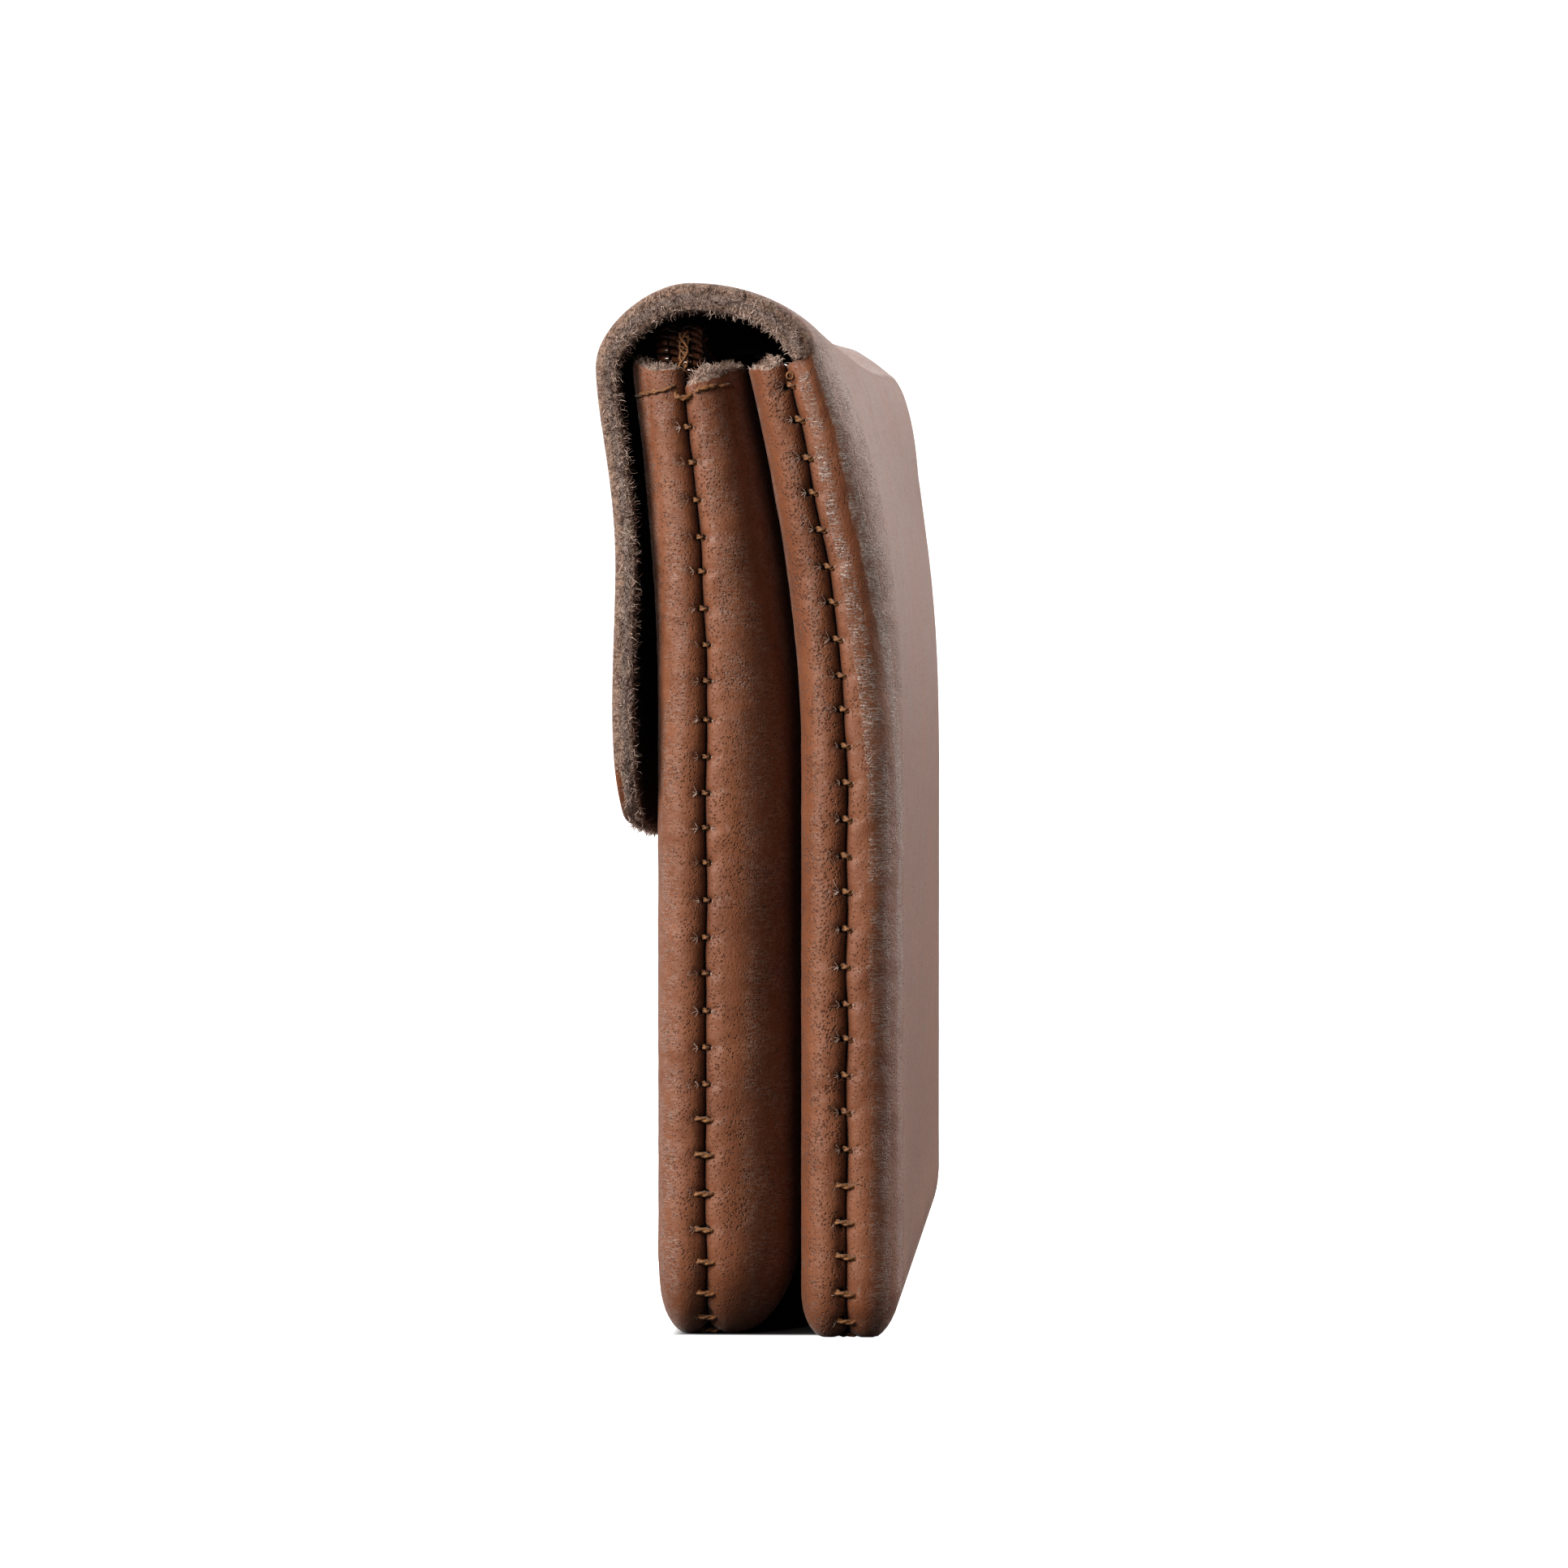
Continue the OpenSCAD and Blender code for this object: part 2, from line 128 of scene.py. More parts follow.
def ripple(points, size, seed, waves=16):
    """A smooth irregular field of about -1 to 1, whose bumps are about size apart."""
    rng = np.random.default_rng(seed)
    points = np.asarray(points, float)
    way = rng.normal(size=(waves, points.shape[-1]))
    way /= np.linalg.norm(way, axis=1)[:, None]
    way *= (2 * math.pi / size) * rng.uniform(0.6, 1.4, (waves, 1))
    return np.sin(points @ way.T + rng.uniform(0, 2 * math.pi, waves)).sum(-1) / math.sqrt(waves)


# side: +1 for the panel behind its seam, -1 for the one before it. first is the way down to the first stitch, dip
# hollows the mouth's edge, crisp draws the rolled edge into the groove, holes is how deep they are, and high is how
# far the mouth's edge stands up at the seam.
Panel = namedtuple("Panel", "side thick roll foot top rise bulge sag seam face first seed dip crisp holes high")

BACK = Panel(1, FLAP_T, 6, 4.5, MOUTH, 1.5, 0.5, 0, rear_seam, back_face, 1.4, 1, 0, 0.8, 0.1, 0)
REAR_FRONT = Panel(-1, PANEL_T, 3.5, 4.5, MOUTH, -0.3, 0, 0, rear_seam, middle_face, 1.4, 2, 0.25, 1.15, 0.9, 0)
FRONT_BACK = Panel(1, PANEL_T, 9, 8, 73.6, 1.8, 0, 0.9, front_seam, inner_face, 3.1, 3, 0.35, 0.8, 0.5, 0)
FRONT = Panel(-1, PANEL_T, 4, 8, 73.6, 2.1, -0.9, 0.9, front_seam, front_face, 3.1, 4, 0, 1.1, 0.6, 1.2)

# Lines along a rolled edge, by their angle: from the groove of the seam, round the outermost line, to the face.
GROOVE_ANGLES = np.array([-90.0, -76, -62, -50, -40, -30, -20, -10])
ROLL_ANGLES = np.linspace(0, 90, 12)
ANGLES = np.concatenate([GROOVE_ANGLES, ROLL_ANGLES])
FIRST_ROLL = len(GROOVE_ANGLES)
LAST = len(ANGLES) - 1
COLUMNS = 56
SIDE_ROWS = 300
BLEND_ROWS = 10
CORNER_STEPS = 12


def lines_across(count):
    """For each line across a panel the side that it lies on, 0 between, and its place between the sides."""
    hand = np.concatenate([-np.ones(count), np.zeros(COLUMNS - 1), np.ones(count)])
    t = np.concatenate([np.zeros(count), np.linspace(-1, 1, COLUMNS + 1)[1:-1], np.zeros(count)])
    return hand, t


def fuller(p, x, z):
    """The back stands out more past the near end's rolled edge, towards the top."""
    if p is not BACK:
        return 0 * z
    along = np.interp(x, [-55, -49, -34, 0, 30, 46, 55], [0.55, 0.6, 1, 0.85, 0.4, 0.0, 0])
    width = np.where(z < 74.8, 8.0, 3.9)
    return 2.1 * along * np.exp(-(((z - 74.8) / width) ** 2)) * smooth((81.5 - z) / 4)


def droop(x, y, z):
    """The bend of the flap is slack away from the near end, most of all over the rear pocket."""
    from_end = smooth((52 - x) / 45)
    over_zip = 0.95 - 0.6 * smooth((-5 - x) / 12) + 0.85 * smooth((-43 - x) / 9)
    over_rear = 1.1 * smooth((y + 3.5) / 3) * smooth((x + 52) / 22)
    far_back = smooth((y - 1) / 3) * smooth((-25 - x) / 20)
    return from_end * smooth((z - 74.5) / 5) * (over_zip * (1 - far_back) + over_rear)


def depth_of(p, x, z):
    rise = p.rise * np.clip((z - 60) / (p.top - 60), 0, None) ** 2
    dy = p.face(z + rise) - p.seam(z) + p.side * fuller(p, x, z)
    return dy, rise, np.hypot(dy, rise)


def wander(p, sigma, hand):
    """A sewn seam is never quite straight."""
    track = np.stack([sigma, hand * 40.0 + 0 * sigma], -1)
    return 0.06 * ripple(track, 9, 11 if p.top > 75 else 12, 8)


IRREGULAR = np.random.default_rng(5).uniform(-1, 1, (4, 2, 60))


def seam_row(p, hand):
    return (0 if p.first < 2 else 2) + (np.asarray(hand) > 0)


def stitch_at(p, hand, turn):
    """The way along the seam to a stitch, and how far that stitch strays from the rest."""
    row = seam_row(p, hand)
    return p.first + PITCH * turn + 0.15 * IRREGULAR[row, 0, turn], IRREGULAR[row, 1, turn]


def off_stitch(p, sigma, hand):
    turn = np.clip(np.round((sigma - p.first) / PITCH), 0, 59).astype(int)
    at, stray = stitch_at(p, hand, turn)
    return sigma - at, stray


def stitch_pull(p, sigma, hand):
    """1 at each stitch of the seam, 0 between stitches; sigma is the way along the seam from its top."""
    off, stray = off_stitch(p, sigma, hand)
    return np.exp(-((off / 0.46) ** 2)) * (0.85 + 0.15 * stray)


def hole_at(p, sigma, hand, angle):
    """The needle's holes, one on each side of the seam."""
    off, stray = off_stitch(p, sigma, hand)
    centre = 50 if p.top > 75 else 60
    return np.exp(-((off / 0.24) ** 2)) * np.exp(-(((angle + centre + 3 * stray) / 12) ** 2))


def corner_r(p, e):
    return np.maximum(p.foot - e, LEAST_CORNER)


def pressed_by_stud(x, y, z):
    """The front leather held back under the base of the press stud, and easing out round it."""
    near = 1 - smooth((np.hypot(x, z - STUD_Z) - STUD_REACH) / STUD_REACH_FADE)
    return y + near * np.maximum(0, STUD_SEAT - y)


def lay(p, x, z, d, flat, sigma, hand):
    """A point of a panel from x, base height z and distance d off the seam."""
    dy, rise, depth = depth_of(p, x, z)
    f = d / depth
    u = np.minimum(1, np.abs(x) / (HALF - p.roll))
    v = np.clip((z - 10) / 64, 0, 1)
    swell = p.side * p.bulge * (1 - u * u) * np.sin(math.pi * v) * flat
    sag = p.sag * (1 - np.minimum(1, np.abs(x) / (HALF - 4)) ** 8) * np.clip((z - 66) / (p.top - 66), 0, None)
    y = p.seam(z) + wander(p, sigma, hand) * (1 - smooth(f)) + dy * f + swell
    low = FOOT_CUT * (1 - smooth(z / 60)) + p.dip * np.sin(math.pi * np.clip(f, 0, 1)) * smooth((z - 68) / 6)
    low = low - p.high * smooth((z - 71.2) / 2.4) * (1 - smooth(f / 0.7))
    if p is FRONT:
        y = pressed_by_stud(x, y, z)
    slack = droop(x, y, z + rise * f) * smooth(f) if p is BACK else 0
    return np.stack([x, y, np.maximum(0, z + rise * f - low - slack - sag * smooth(f))], -1)


def sheet(p, inner):
    """The grid of one side of a panel, and the grid along its foot."""
    count = LAST + 1
    k = np.concatenate([np.arange(count), np.full(COLUMNS - 1, LAST), np.arange(count)[::-1]])
    hand, t = lines_across(count)
    angle = ANGLES[k]
    rad = np.radians(angle)
    if inner:
        wide = max(ALLOWANCE + INNER_REACH, p.roll + INNER_REACH)
        e0 = ALLOWANCE + (wide - ALLOWANCE) * (1 - np.cos(math.pi / 2 * k / LAST))
    else:
        e0 = np.where(angle < 0, p.crisp * GROOVE * (1 - np.cos(rad)), p.roll * (1 - np.cos(rad)))

    tops = p.top - (p.top - SIDE_LOW) * np.linspace(0, 1, SIDE_ROWS)
    rows = [("side", z) for z in tops]
    rows += [("blend", m / BLEND_ROWS) for m in range(1, BLEND_ROWS)]
    rows += [("corner", math.radians(90 * m / CORNER_STEPS)) for m in range(CORNER_STEPS + 1)]

    def sigma_of(kind, value):
        if kind == "side":
            return p.top - value
        if kind == "blend":
            return p.top - SIDE_LOW + (SIDE_LOW - p.foot) * value
        return p.top - p.foot + p.foot * value

    def edge(e, sigma, side_hand, angle):
        """The distance in from the outline, with the pull of the stitches."""
        if inner:
            return e
        pull = stitch_pull(p, sigma, side_hand)
        bite = np.exp(-(((angle + 36) / 20) ** 2))
        low = smooth((sigma - (p.top - 13)) / 5)
        draw = 1.0 if p.side < 0 else 0.45
        e = e + draw * (pull * bite * (0.2 + 0.16 * low) - (1 - pull) * 0.06 * bite)
        e = e + p.holes * (1 + 0.2 * low) * hole_at(p, sigma, side_hand, angle)
        return np.maximum(e, 0.0)

    def off_seam(depth, rad, angle, k, sigma, side_hand):
        if inner:
            return np.maximum(SEAM_GAP, (depth - p.thick) * np.sin(math.pi / 2 * k / LAST))
        d = np.where(angle < 0, np.maximum(SEAM_GAP, LOBE * (1 + np.sin(rad))), LOBE + (depth - LOBE) * np.sin(rad))
        spread = stitch_pull(p, sigma, side_hand) * 0.08 - 0.03
        return np.maximum(SEAM_GAP, d + spread * np.exp(-(((angle + 58) / 18) ** 2)))

    grid, sigmas = [], []
    for kind, value in rows:
        sigma = np.full(len(k), sigma_of(kind, value))
        near = np.where(hand == 0, np.sign(t), hand)
        e = edge(e0, sigma, near, angle)
        cr = corner_r(p, e)
        if kind == "side":
            z, reach = np.full(len(k), value), HALF - e
        elif kind == "blend":
            z, reach = SIDE_LOW + (e + cr - SIDE_LOW) * value, HALF - e
        else:
            z, reach = e + cr * (1 - math.sin(value)), HALF - e - cr * (1 - math.cos(value))
        x = np.where(hand == 0, reach * t, hand * reach)
        depth = depth_of(p, x, z)[2]
        d = off_seam(depth, rad, angle, k, sigma, near)
        grid.append(lay(p, x, z, d, (k == LAST) * 1.0, sigma, near))
        sigmas.append(sigma)
    foot = []
    foot_sigma = []
    for line in range(LAST + 1):
        tt = np.linspace(-1, 1, COLUMNS + 1)
        e_line = e0[line]
        reach0 = HALF - e_line - corner_r(p, e_line)
        sigma = p.top - p.foot + p.foot * math.pi / 2 + reach0 * (1 - np.abs(tt))
        a = np.full(len(tt), ANGLES[line])
        near = np.where(tt > 0, 1.0, -1.0)
        e = edge(np.full(len(tt), e_line), sigma, near, a)
        cr = corner_r(p, e)
        z = e
        x = (HALF - e - cr) * tt
        depth = depth_of(p, x, z)[2]
        d = off_seam(depth, np.radians(a), a, np.full(len(tt), line), sigma, near)
        row = lay(p, x, z, d, (line == LAST) * 1.0 + 0 * x, sigma, np.sign(tt))
        row[0] = grid[-1][line]
        row[-1] = grid[-1][len(k) - 1 - line]
        foot.append(row)
        foot_sigma.append(sigma)
    foot[LAST] = np.array(grid[-1][LAST:LAST + COLUMNS + 1])
    return {
        "main": np.array(grid), "foot": np.array(foot), "angle": angle, "sigma": np.array(sigmas),
        "hand": np.where(hand == 0, np.sign(t), hand), "foot_sigma": np.array(foot_sigma),
    }


# ---------------------------------------------------------------- meshes

MARKS = ("roll", "raw", "flesh", "pull", "hole")


def squares(first, r, c):
    """The faces of a grid of r by c points, numbered from first."""
    ids = first + np.arange(r * c).reshape(r, c)
    return np.stack([ids[:-1, :-1], ids[:-1, 1:], ids[1:, 1:], ids[1:, :-1]], -1).reshape(-1, 4)


def heading(path):
    way = np.gradient(path, axis=0)
    return way / np.linalg.norm(way, axis=1)[:, None]


def way_along(path):
    return np.concatenate([[0], np.cumsum(np.linalg.norm(np.diff(path, axis=0), axis=1))])


def smoothed(data):
    data.polygons.foreach_set("use_smooth", [True] * len(data.polygons))
    return data


class Skin:
    """Patches of one closed piece of leather, joined where they meet. Each point carries marks that the leather's
    finish reads: its place round the rolled edge, the raw cut, the flesh side and the pull of the stitches."""

    def __init__(self):
        self.points, self.faces, self.marks, self.count = [], [], {m: [] for m in MARKS}, 0

    def patch(self, grid, **marks):
        grid = np.asarray(grid, float)
        r, c = grid.shape[:2]
        self.points.append(grid.reshape(-1, 3))
        self.faces.append(squares(self.count, r, c))
        for m in MARKS:
            self.marks[m].append(np.broadcast_to(marks.get(m, 0.0), (r, c)).reshape(-1).astype(float))
        self.count += r * c

    def mesh(self, name):
        points = np.concatenate(self.points) * MM
        data = bpy.data.meshes.new(name)
        data.from_pydata(points.tolist(), [], np.concatenate(self.faces).tolist())
        for m in MARKS:
            data.attributes.new(m, "FLOAT", "POINT").data.foreach_set("value", np.concatenate(self.marks[m]))
        bm = bmesh.new()
        bm.from_mesh(data)
        bmesh.ops.remove_doubles(bm, verts=bm.verts, dist=0.004 * MM)
        bmesh.ops.dissolve_degenerate(bm, edges=bm.edges, dist=0.002 * MM)
        gaps = [e for e in bm.edges if e.is_boundary]
        if gaps:
            filled = bmesh.ops.holes_fill(bm, edges=gaps, sides=0)["faces"]
            bmesh.ops.triangulate(bm, faces=filled)
        bmesh.ops.recalc_face_normals(bm, faces=bm.faces)
        for f in bm.faces:
            f.smooth = True
        bm.to_mesh(data)
        bm.free()
        return data


def add(name, data, *materials):
    piece = bpy.data.objects.new(name, data)
    scene.collection.objects.link(piece)
    for m in materials:
        data.materials.append(m)
    return piece


def settle(piece, body, slot, *nodes):
    """Puts a piece on the body that it rides on and hides the solids that it stands for; the slot is not used."""
    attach(piece, body)
    if nodes:
        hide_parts(*nodes)


def mesh_of(name, points, faces, smooth_faces=True):
    data = bpy.data.meshes.new(name)
    data.from_pydata((np.asarray(points, float) * MM).tolist(), [], [list(map(int, f)) for f in faces])
    data.validate()
    return smoothed(data) if smooth_faces else data


def coarse(points, seed):
    """The hand-worked unevenness of rolled leather."""
    return 0.055 * ripple(points, 5.5, seed) + 0.028 * ripple(points, 1.9, seed + 50)


def raw_rim(outer_row, ring_row, steps, seed, lift):
    """The cut across the leather's thickness, from the grain to the flesh, slightly domed and fibrous."""
    rows = []
    up = np.array([0, 0, 1.0])
    for s in np.linspace(0, 1, steps + 1):
        row = outer_row + (ring_row - outer_row) * s
        row = row + up * (0.5 * s * (1 - s) + lift * s**0.8)[:, None]
        if s > 0:
            row = row + up * (0.12 * ripple(row, 0.8, seed))[:, None] * (0.4 + 0.6 * (s < 1))
        rows.append(row)
    return np.array(rows)


def panel_skin(p, skin):
    outer, inner = sheet(p, False), sheet(p, True)
    hand = lines_across(LAST + 1)[0]
    angle = outer["angle"]
    near_roll = np.cos(np.radians(np.clip(angle, -90, 90))) ** 0.6

    # Outward, for the small bumps of the rolled edge: along X at the outermost line, along Y on the faces.
    rad = np.radians(angle)
    main = outer["main"].copy()
    out = np.stack([hand * np.cos(rad), p.side * np.sin(rad), 0 * rad], -1)
    out = np.broadcast_to(out, main.shape)
    fade = smooth((main[..., 2] - 2) / 4) * smooth(np.arange(len(main))[::-1, None] / 8)
    main = main + out * (coarse(main, p.seed * 7) * near_roll * fade)[..., None]
    main[0], main[:, 0], main[:, -1] = outer["main"][0], outer["main"][:, 0], outer["main"][:, -1]
    limit = HALF + 0.12
    main[..., 0] = np.clip(main[..., 0], -limit, limit)
    outer["main"] = main

    foot_hand = np.where(np.linspace(-1, 1, COLUMNS + 1) > 0, 1, -1)
    for grid, a, sigma, near in (
        (main, angle, outer["sigma"], outer["hand"]), (outer["foot"], ANGLES[:, None], outer["foot_sigma"], foot_hand),
    ):
        # The hole mark says where the needle holes take painted shade, faintly on the back.
        skin.patch(grid, roll=a / 90, pull=stitch_pull(p, sigma, near) * np.exp(-(((a + 18) / 26) ** 2)),
                   hole=(0.3 if p is BACK else 1.0) * hole_at(p, sigma, near, a))
    skin.patch(inner["main"], flesh=1.0, roll=1.0)
    skin.patch(inner["foot"], flesh=1.0, roll=1.0)

    # The seam's side, from the groove to the turned-in allowance; its roll mark of -1 gives it the groove's painted
    # shade.
    def edge_path(s):
        return np.concatenate([s["main"][:, 0], s["foot"][0][1:-1], s["main"][::-1, -1]])

    skin.patch(np.stack([edge_path(outer), edge_path(inner)]), flesh=[[0.0], [1.0]], roll=-1.0)
    return outer, inner


def mouth_rim(p, outer, inner, skin, lift_top, steps=6, lines=None):
    """The raw cut round a pocket's mouth. Where the edge is rolled, the cut turns out towards the side."""
    o, i = outer["main"][0], inner["main"][0]
    angle = outer["angle"]
    hand = lines_across(LAST + 1)[0]
    rad = np.radians(angle)
    rolled = hand != 0
    step_in = np.stack([-hand * np.cos(rad), -p.side * np.sin(rad), 0 * rad], -1) * p.thick
    ring = np.where(rolled[:, None], o + step_in, i)
    lifts = np.array([0.75, 0.95, 1.1, 1, 0.7, 0.35, 0.15, 0]) * lift_top
    lift = np.where(rolled, np.interp(angle, [-90, -60, -32, 0, 18, 45, 66, 90], lifts), 0.0)
    keep = slice(None) if lines is None else lines
    rim = raw_rim(o, ring, steps, p.seed * 13, lift)
    rim[-1][~rolled] = i[~rolled]
    raw = np.ones((steps + 1, len(angle)))
    raw[0] = 0.3
    rim = rim[:, keep]
    skin.patch(rim, raw=raw[:, keep], roll=2 + 0 * raw[:, keep])
    FRAYED.append(rim[1:, : LAST + 1] if lines is None else rim[1:])
    if lines is None:
        FRAYED.append(rim[1:, -LAST - 1:])
    # The hollow of the roll behind the cut.
    cap = np.stack([rim[-1], i[keep]])
    skin.patch(cap, raw=[[1.0], [0.3]], flesh=[[0.3], [1.0]], roll=0.9)
    return rim


FRAYED = []

# ---------------------------------------------------------------- finishes


class Wire:
    """An output of a node. It takes part in sums as a number does, and a | b is the larger of two."""

    def __init__(self, nodes, socket):
        self.nodes, self.socket = nodes, socket

    def __add__(self, other):
        return self.nodes.math("ADD", self, other)

    def __sub__(self, other):
        return self.nodes.math("SUBTRACT", self, other)

    def __rsub__(self, other):
        return self.nodes.math("SUBTRACT", other, self)

    def __mul__(self, other):
        return self.nodes.math("MULTIPLY", self, other)

    def __or__(self, other):
        return self.nodes.math("MAXIMUM", self, other)

    def __abs__(self):
        return self.nodes.math("ABSOLUTE", self)


class Nodes:
    """Short ways to add and link nodes in one tree."""

    def __init__(self, tree):
        self.tree = tree

    def feed(self, socket, value):
        if isinstance(value, Wire):
            self.tree.links.new(value.socket, socket)
        else:
            socket.default_value = value

    def put(self, kind, feeds=(), **settings):
        node = self.tree.nodes.new(kind)
        for key, value in settings.items():
            setattr(node, key, value)
        for key, value in dict(feeds).items():
            self.feed(node.inputs[key], value)
        return node

    def out(self, kind, feeds=(), which=0, **settings):
        return Wire(self, self.put(kind, feeds, **settings).outputs[which])

    def math(self, what, a, b=0.0, clamp=False):
        return self.out("ShaderNodeMath", {0: a, 1: b}, operation=what, use_clamp=clamp)

    def ramp(self, value, low, high, to_low=0.0, to_high=1.0):
        ends = dict(enumerate((value, low, high, to_low, to_high)))
        return self.out("ShaderNodeMapRange", ends, interpolation_type="SMOOTHSTEP")

    def mix(self, share, a, b):
        a, b = (c if isinstance(c, Wire) else (*c, 1) for c in (a, b))
        return self.out("ShaderNodeMix", {0: share, 6: a, 7: b}, 2, data_type="RGBA")

    def scaled(self, vector, factors):
        return self.out("ShaderNodeVectorMath", {0: vector, 1: factors}, operation="MULTIPLY")

    def vector(self, *parts):
        return self.out("ShaderNodeCombineXYZ", enumerate(parts))

    def part(self, vector, axis):
        return self.out("ShaderNodeSeparateXYZ", {0: vector}, axis)

    def noise(self, vector, scale, detail=3.0, rough=0.55, distortion=0.0):
        feeds = {"Vector": vector, "Scale": scale, "Detail": detail, "Roughness": rough, "Distortion": distortion}
        return self.out("ShaderNodeTexNoise", feeds)

    def cells(self, vector, scale, feature="F1"):
        return self.out("ShaderNodeTexVoronoi", {"Vector": vector, "Scale": scale}, "Distance", feature=feature)

    def group(self, tree, **values):
        node = self.put("ShaderNodeGroup", values, node_tree=tree)
        return [Wire(self, socket) for socket in node.outputs]

    def mark(self, name):
        return self.out("ShaderNodeAttribute", (), "Fac", attribute_name=name)

    def bump(self, height, distance):
        return self.out("ShaderNodeBump", {"Strength": 1.0, "Distance": distance, "Height": height})

    def camera_ray(self):
        return self.out("ShaderNodeLightPath", (), "Is Camera Ray")


def node_group(name, kind, inputs, outputs):
    """The nodes of a new group, the wires of its inputs and the node that ends it."""
    tree = bpy.data.node_groups.new(name, kind + "NodeTree")
    for label, sort, default in inputs:
        s = tree.interface.new_socket(label, in_out="INPUT", socket_type="NodeSocket" + sort)
        if default is not None:
            s.default_value = default
    for label, sort in outputs:
        tree.interface.new_socket(label, in_out="OUTPUT", socket_type="NodeSocket" + sort)
    n = Nodes(tree)
    wires = [Wire(n, socket) for socket in n.put("NodeGroupInput").outputs]
    return n, wires[:len(inputs)], n.put("NodeGroupOutput")


def build_pores():
    inputs = [("Vector", "Vector", None), ("Spacing", "Float", 2400.0), ("Size", "Float", 0.3)]
    n, (vector, spacing, size), end = node_group("hair_pores", "Shader", inputs, [("Mask", "Float")])
    wobble = n.out("ShaderNodeTexNoise", {"Vector": vector, "Scale": 900}, "Color")
    bent = n.out("ShaderNodeVectorMath", {0: vector, 1: n.scaled(wobble, (0.0004, 0.0004, 0.0004))}, operation="ADD")
    size = size * n.ramp(n.noise(vector, 420.0, 2.0), 0.3, 0.7, 0.65, 1.3)
    n.feed(end.inputs[0], n.ramp(n.cells(bent, spacing), size * 0.35, size, 1.0, 0.0))
    return n.tree


def build_mottle():
    inputs = [("Vector", "Vector", None), ("Contrast", "Float", 1.0)]
    n, (vector, contrast), end = node_group("mottling", "Shader", inputs, [("Value", "Float")])
    both = n.noise(vector, 140.0, 3.0, 0.6) * 0.6 + n.noise(vector, 900.0, 4.0, 0.65) * 0.4
    n.feed(end.inputs[0], n.math("ADD", (both - 0.5) * contrast, 0.5, clamp=True))
    return n.tree


def build_strokes():
    """Pale wax in the fine creases of bent leather: thin broken strokes, longer along X and Y than in Z."""
    inputs = [("Vector", "Vector", None), ("Scale", "Float", 2000.0), ("Squeeze", "Float", 2.2),
              ("Width", "Float", 0.05), ("Patches", "Float", 500.0)]
    n, (vector, scale, squeeze, width, patches), end = node_group("wax_strokes", "Shader", inputs, [("Mask", "Float")])
    lines = n.noise(n.scaled(vector, n.vector(1.0, 1.0, squeeze)), scale, 2.5, 0.6, 0.7)
    strokes = n.ramp(abs(lines - 0.5), 0.0, width, 1.0, 0.0)
    n.feed(end.inputs[0], strokes * n.ramp(n.noise(vector, patches, 3.0, 0.7), 0.36, 0.56, 0.2, 1.0))
    return n.tree


def build_fibrous():
    """The felted fibre of cut or split leather."""
    inputs = [("Vector", "Vector", None), ("Scale", "Float", 2600.0)]
    n, (vector, scale), end = node_group(
        "leather_fibre", "Shader", inputs, [("Value", "Float"), ("Strands", "Float")])
    strands = n.cells(n.scaled(vector, (1.0, 2.4, 0.7)), scale * 1.7, "DISTANCE_TO_EDGE")
    n.feed(end.inputs[0], n.noise(vector, scale, 5.0, 0.7, 1.2))
    n.feed(end.inputs[1], n.ramp(strands, 0.0, 0.12, 1.0, 0.0))
    return n.tree


PORES, MOTTLE, STROKES, FIBROUS = build_pores(), build_mottle(), build_strokes(), build_fibrous()
TAN, TAN_DEEP, PALE = (0.265, 0.1, 0.046), (0.18, 0.062, 0.027), (0.62, 0.5, 0.44)
# The groove's and the needle holes' colours are painted shade; the pores' dark is the grain's own.
GROOVE_PAINTED_SHADE, PORE_DARK, HOLE_PAINTED_SHADE = (0.05, 0.016, 0.007), (0.045, 0.016, 0.008), (0.012, 0.004, 0.002)


def new_material(name):
    """A bare material's nodes, a way to set its shader, which gives the material back, and the place on the object."""
    m = bpy.data.materials.new(name)
    m.use_nodes = True
    m.node_tree.nodes.clear()
    n = Nodes(m.node_tree)
    shader = n.put("ShaderNodeBsdfPrincipled")
    n.put("ShaderNodeOutputMaterial", {0: Wire(n, shader.outputs[0])})

    def dress(**values):
        for key, value in values.items():
            n.feed(shader.inputs[key.replace("_", " ")], value)
        return m

    return n, dress, n.out("ShaderNodeTexCoord", (), "Object")


def band_share(n, roll, bands):
    """How far each point lies in one of the bands round a rolled edge: (from, to, strength)."""
    share = None
    for low, high, strength in bands:
        half = (high - low) / 2
        band = n.ramp(abs(roll - (low + high) / 2), half * 0.7, half * 1.25, 1.0, 0.0) * strength
        share = band if share is None else share | band
    return share


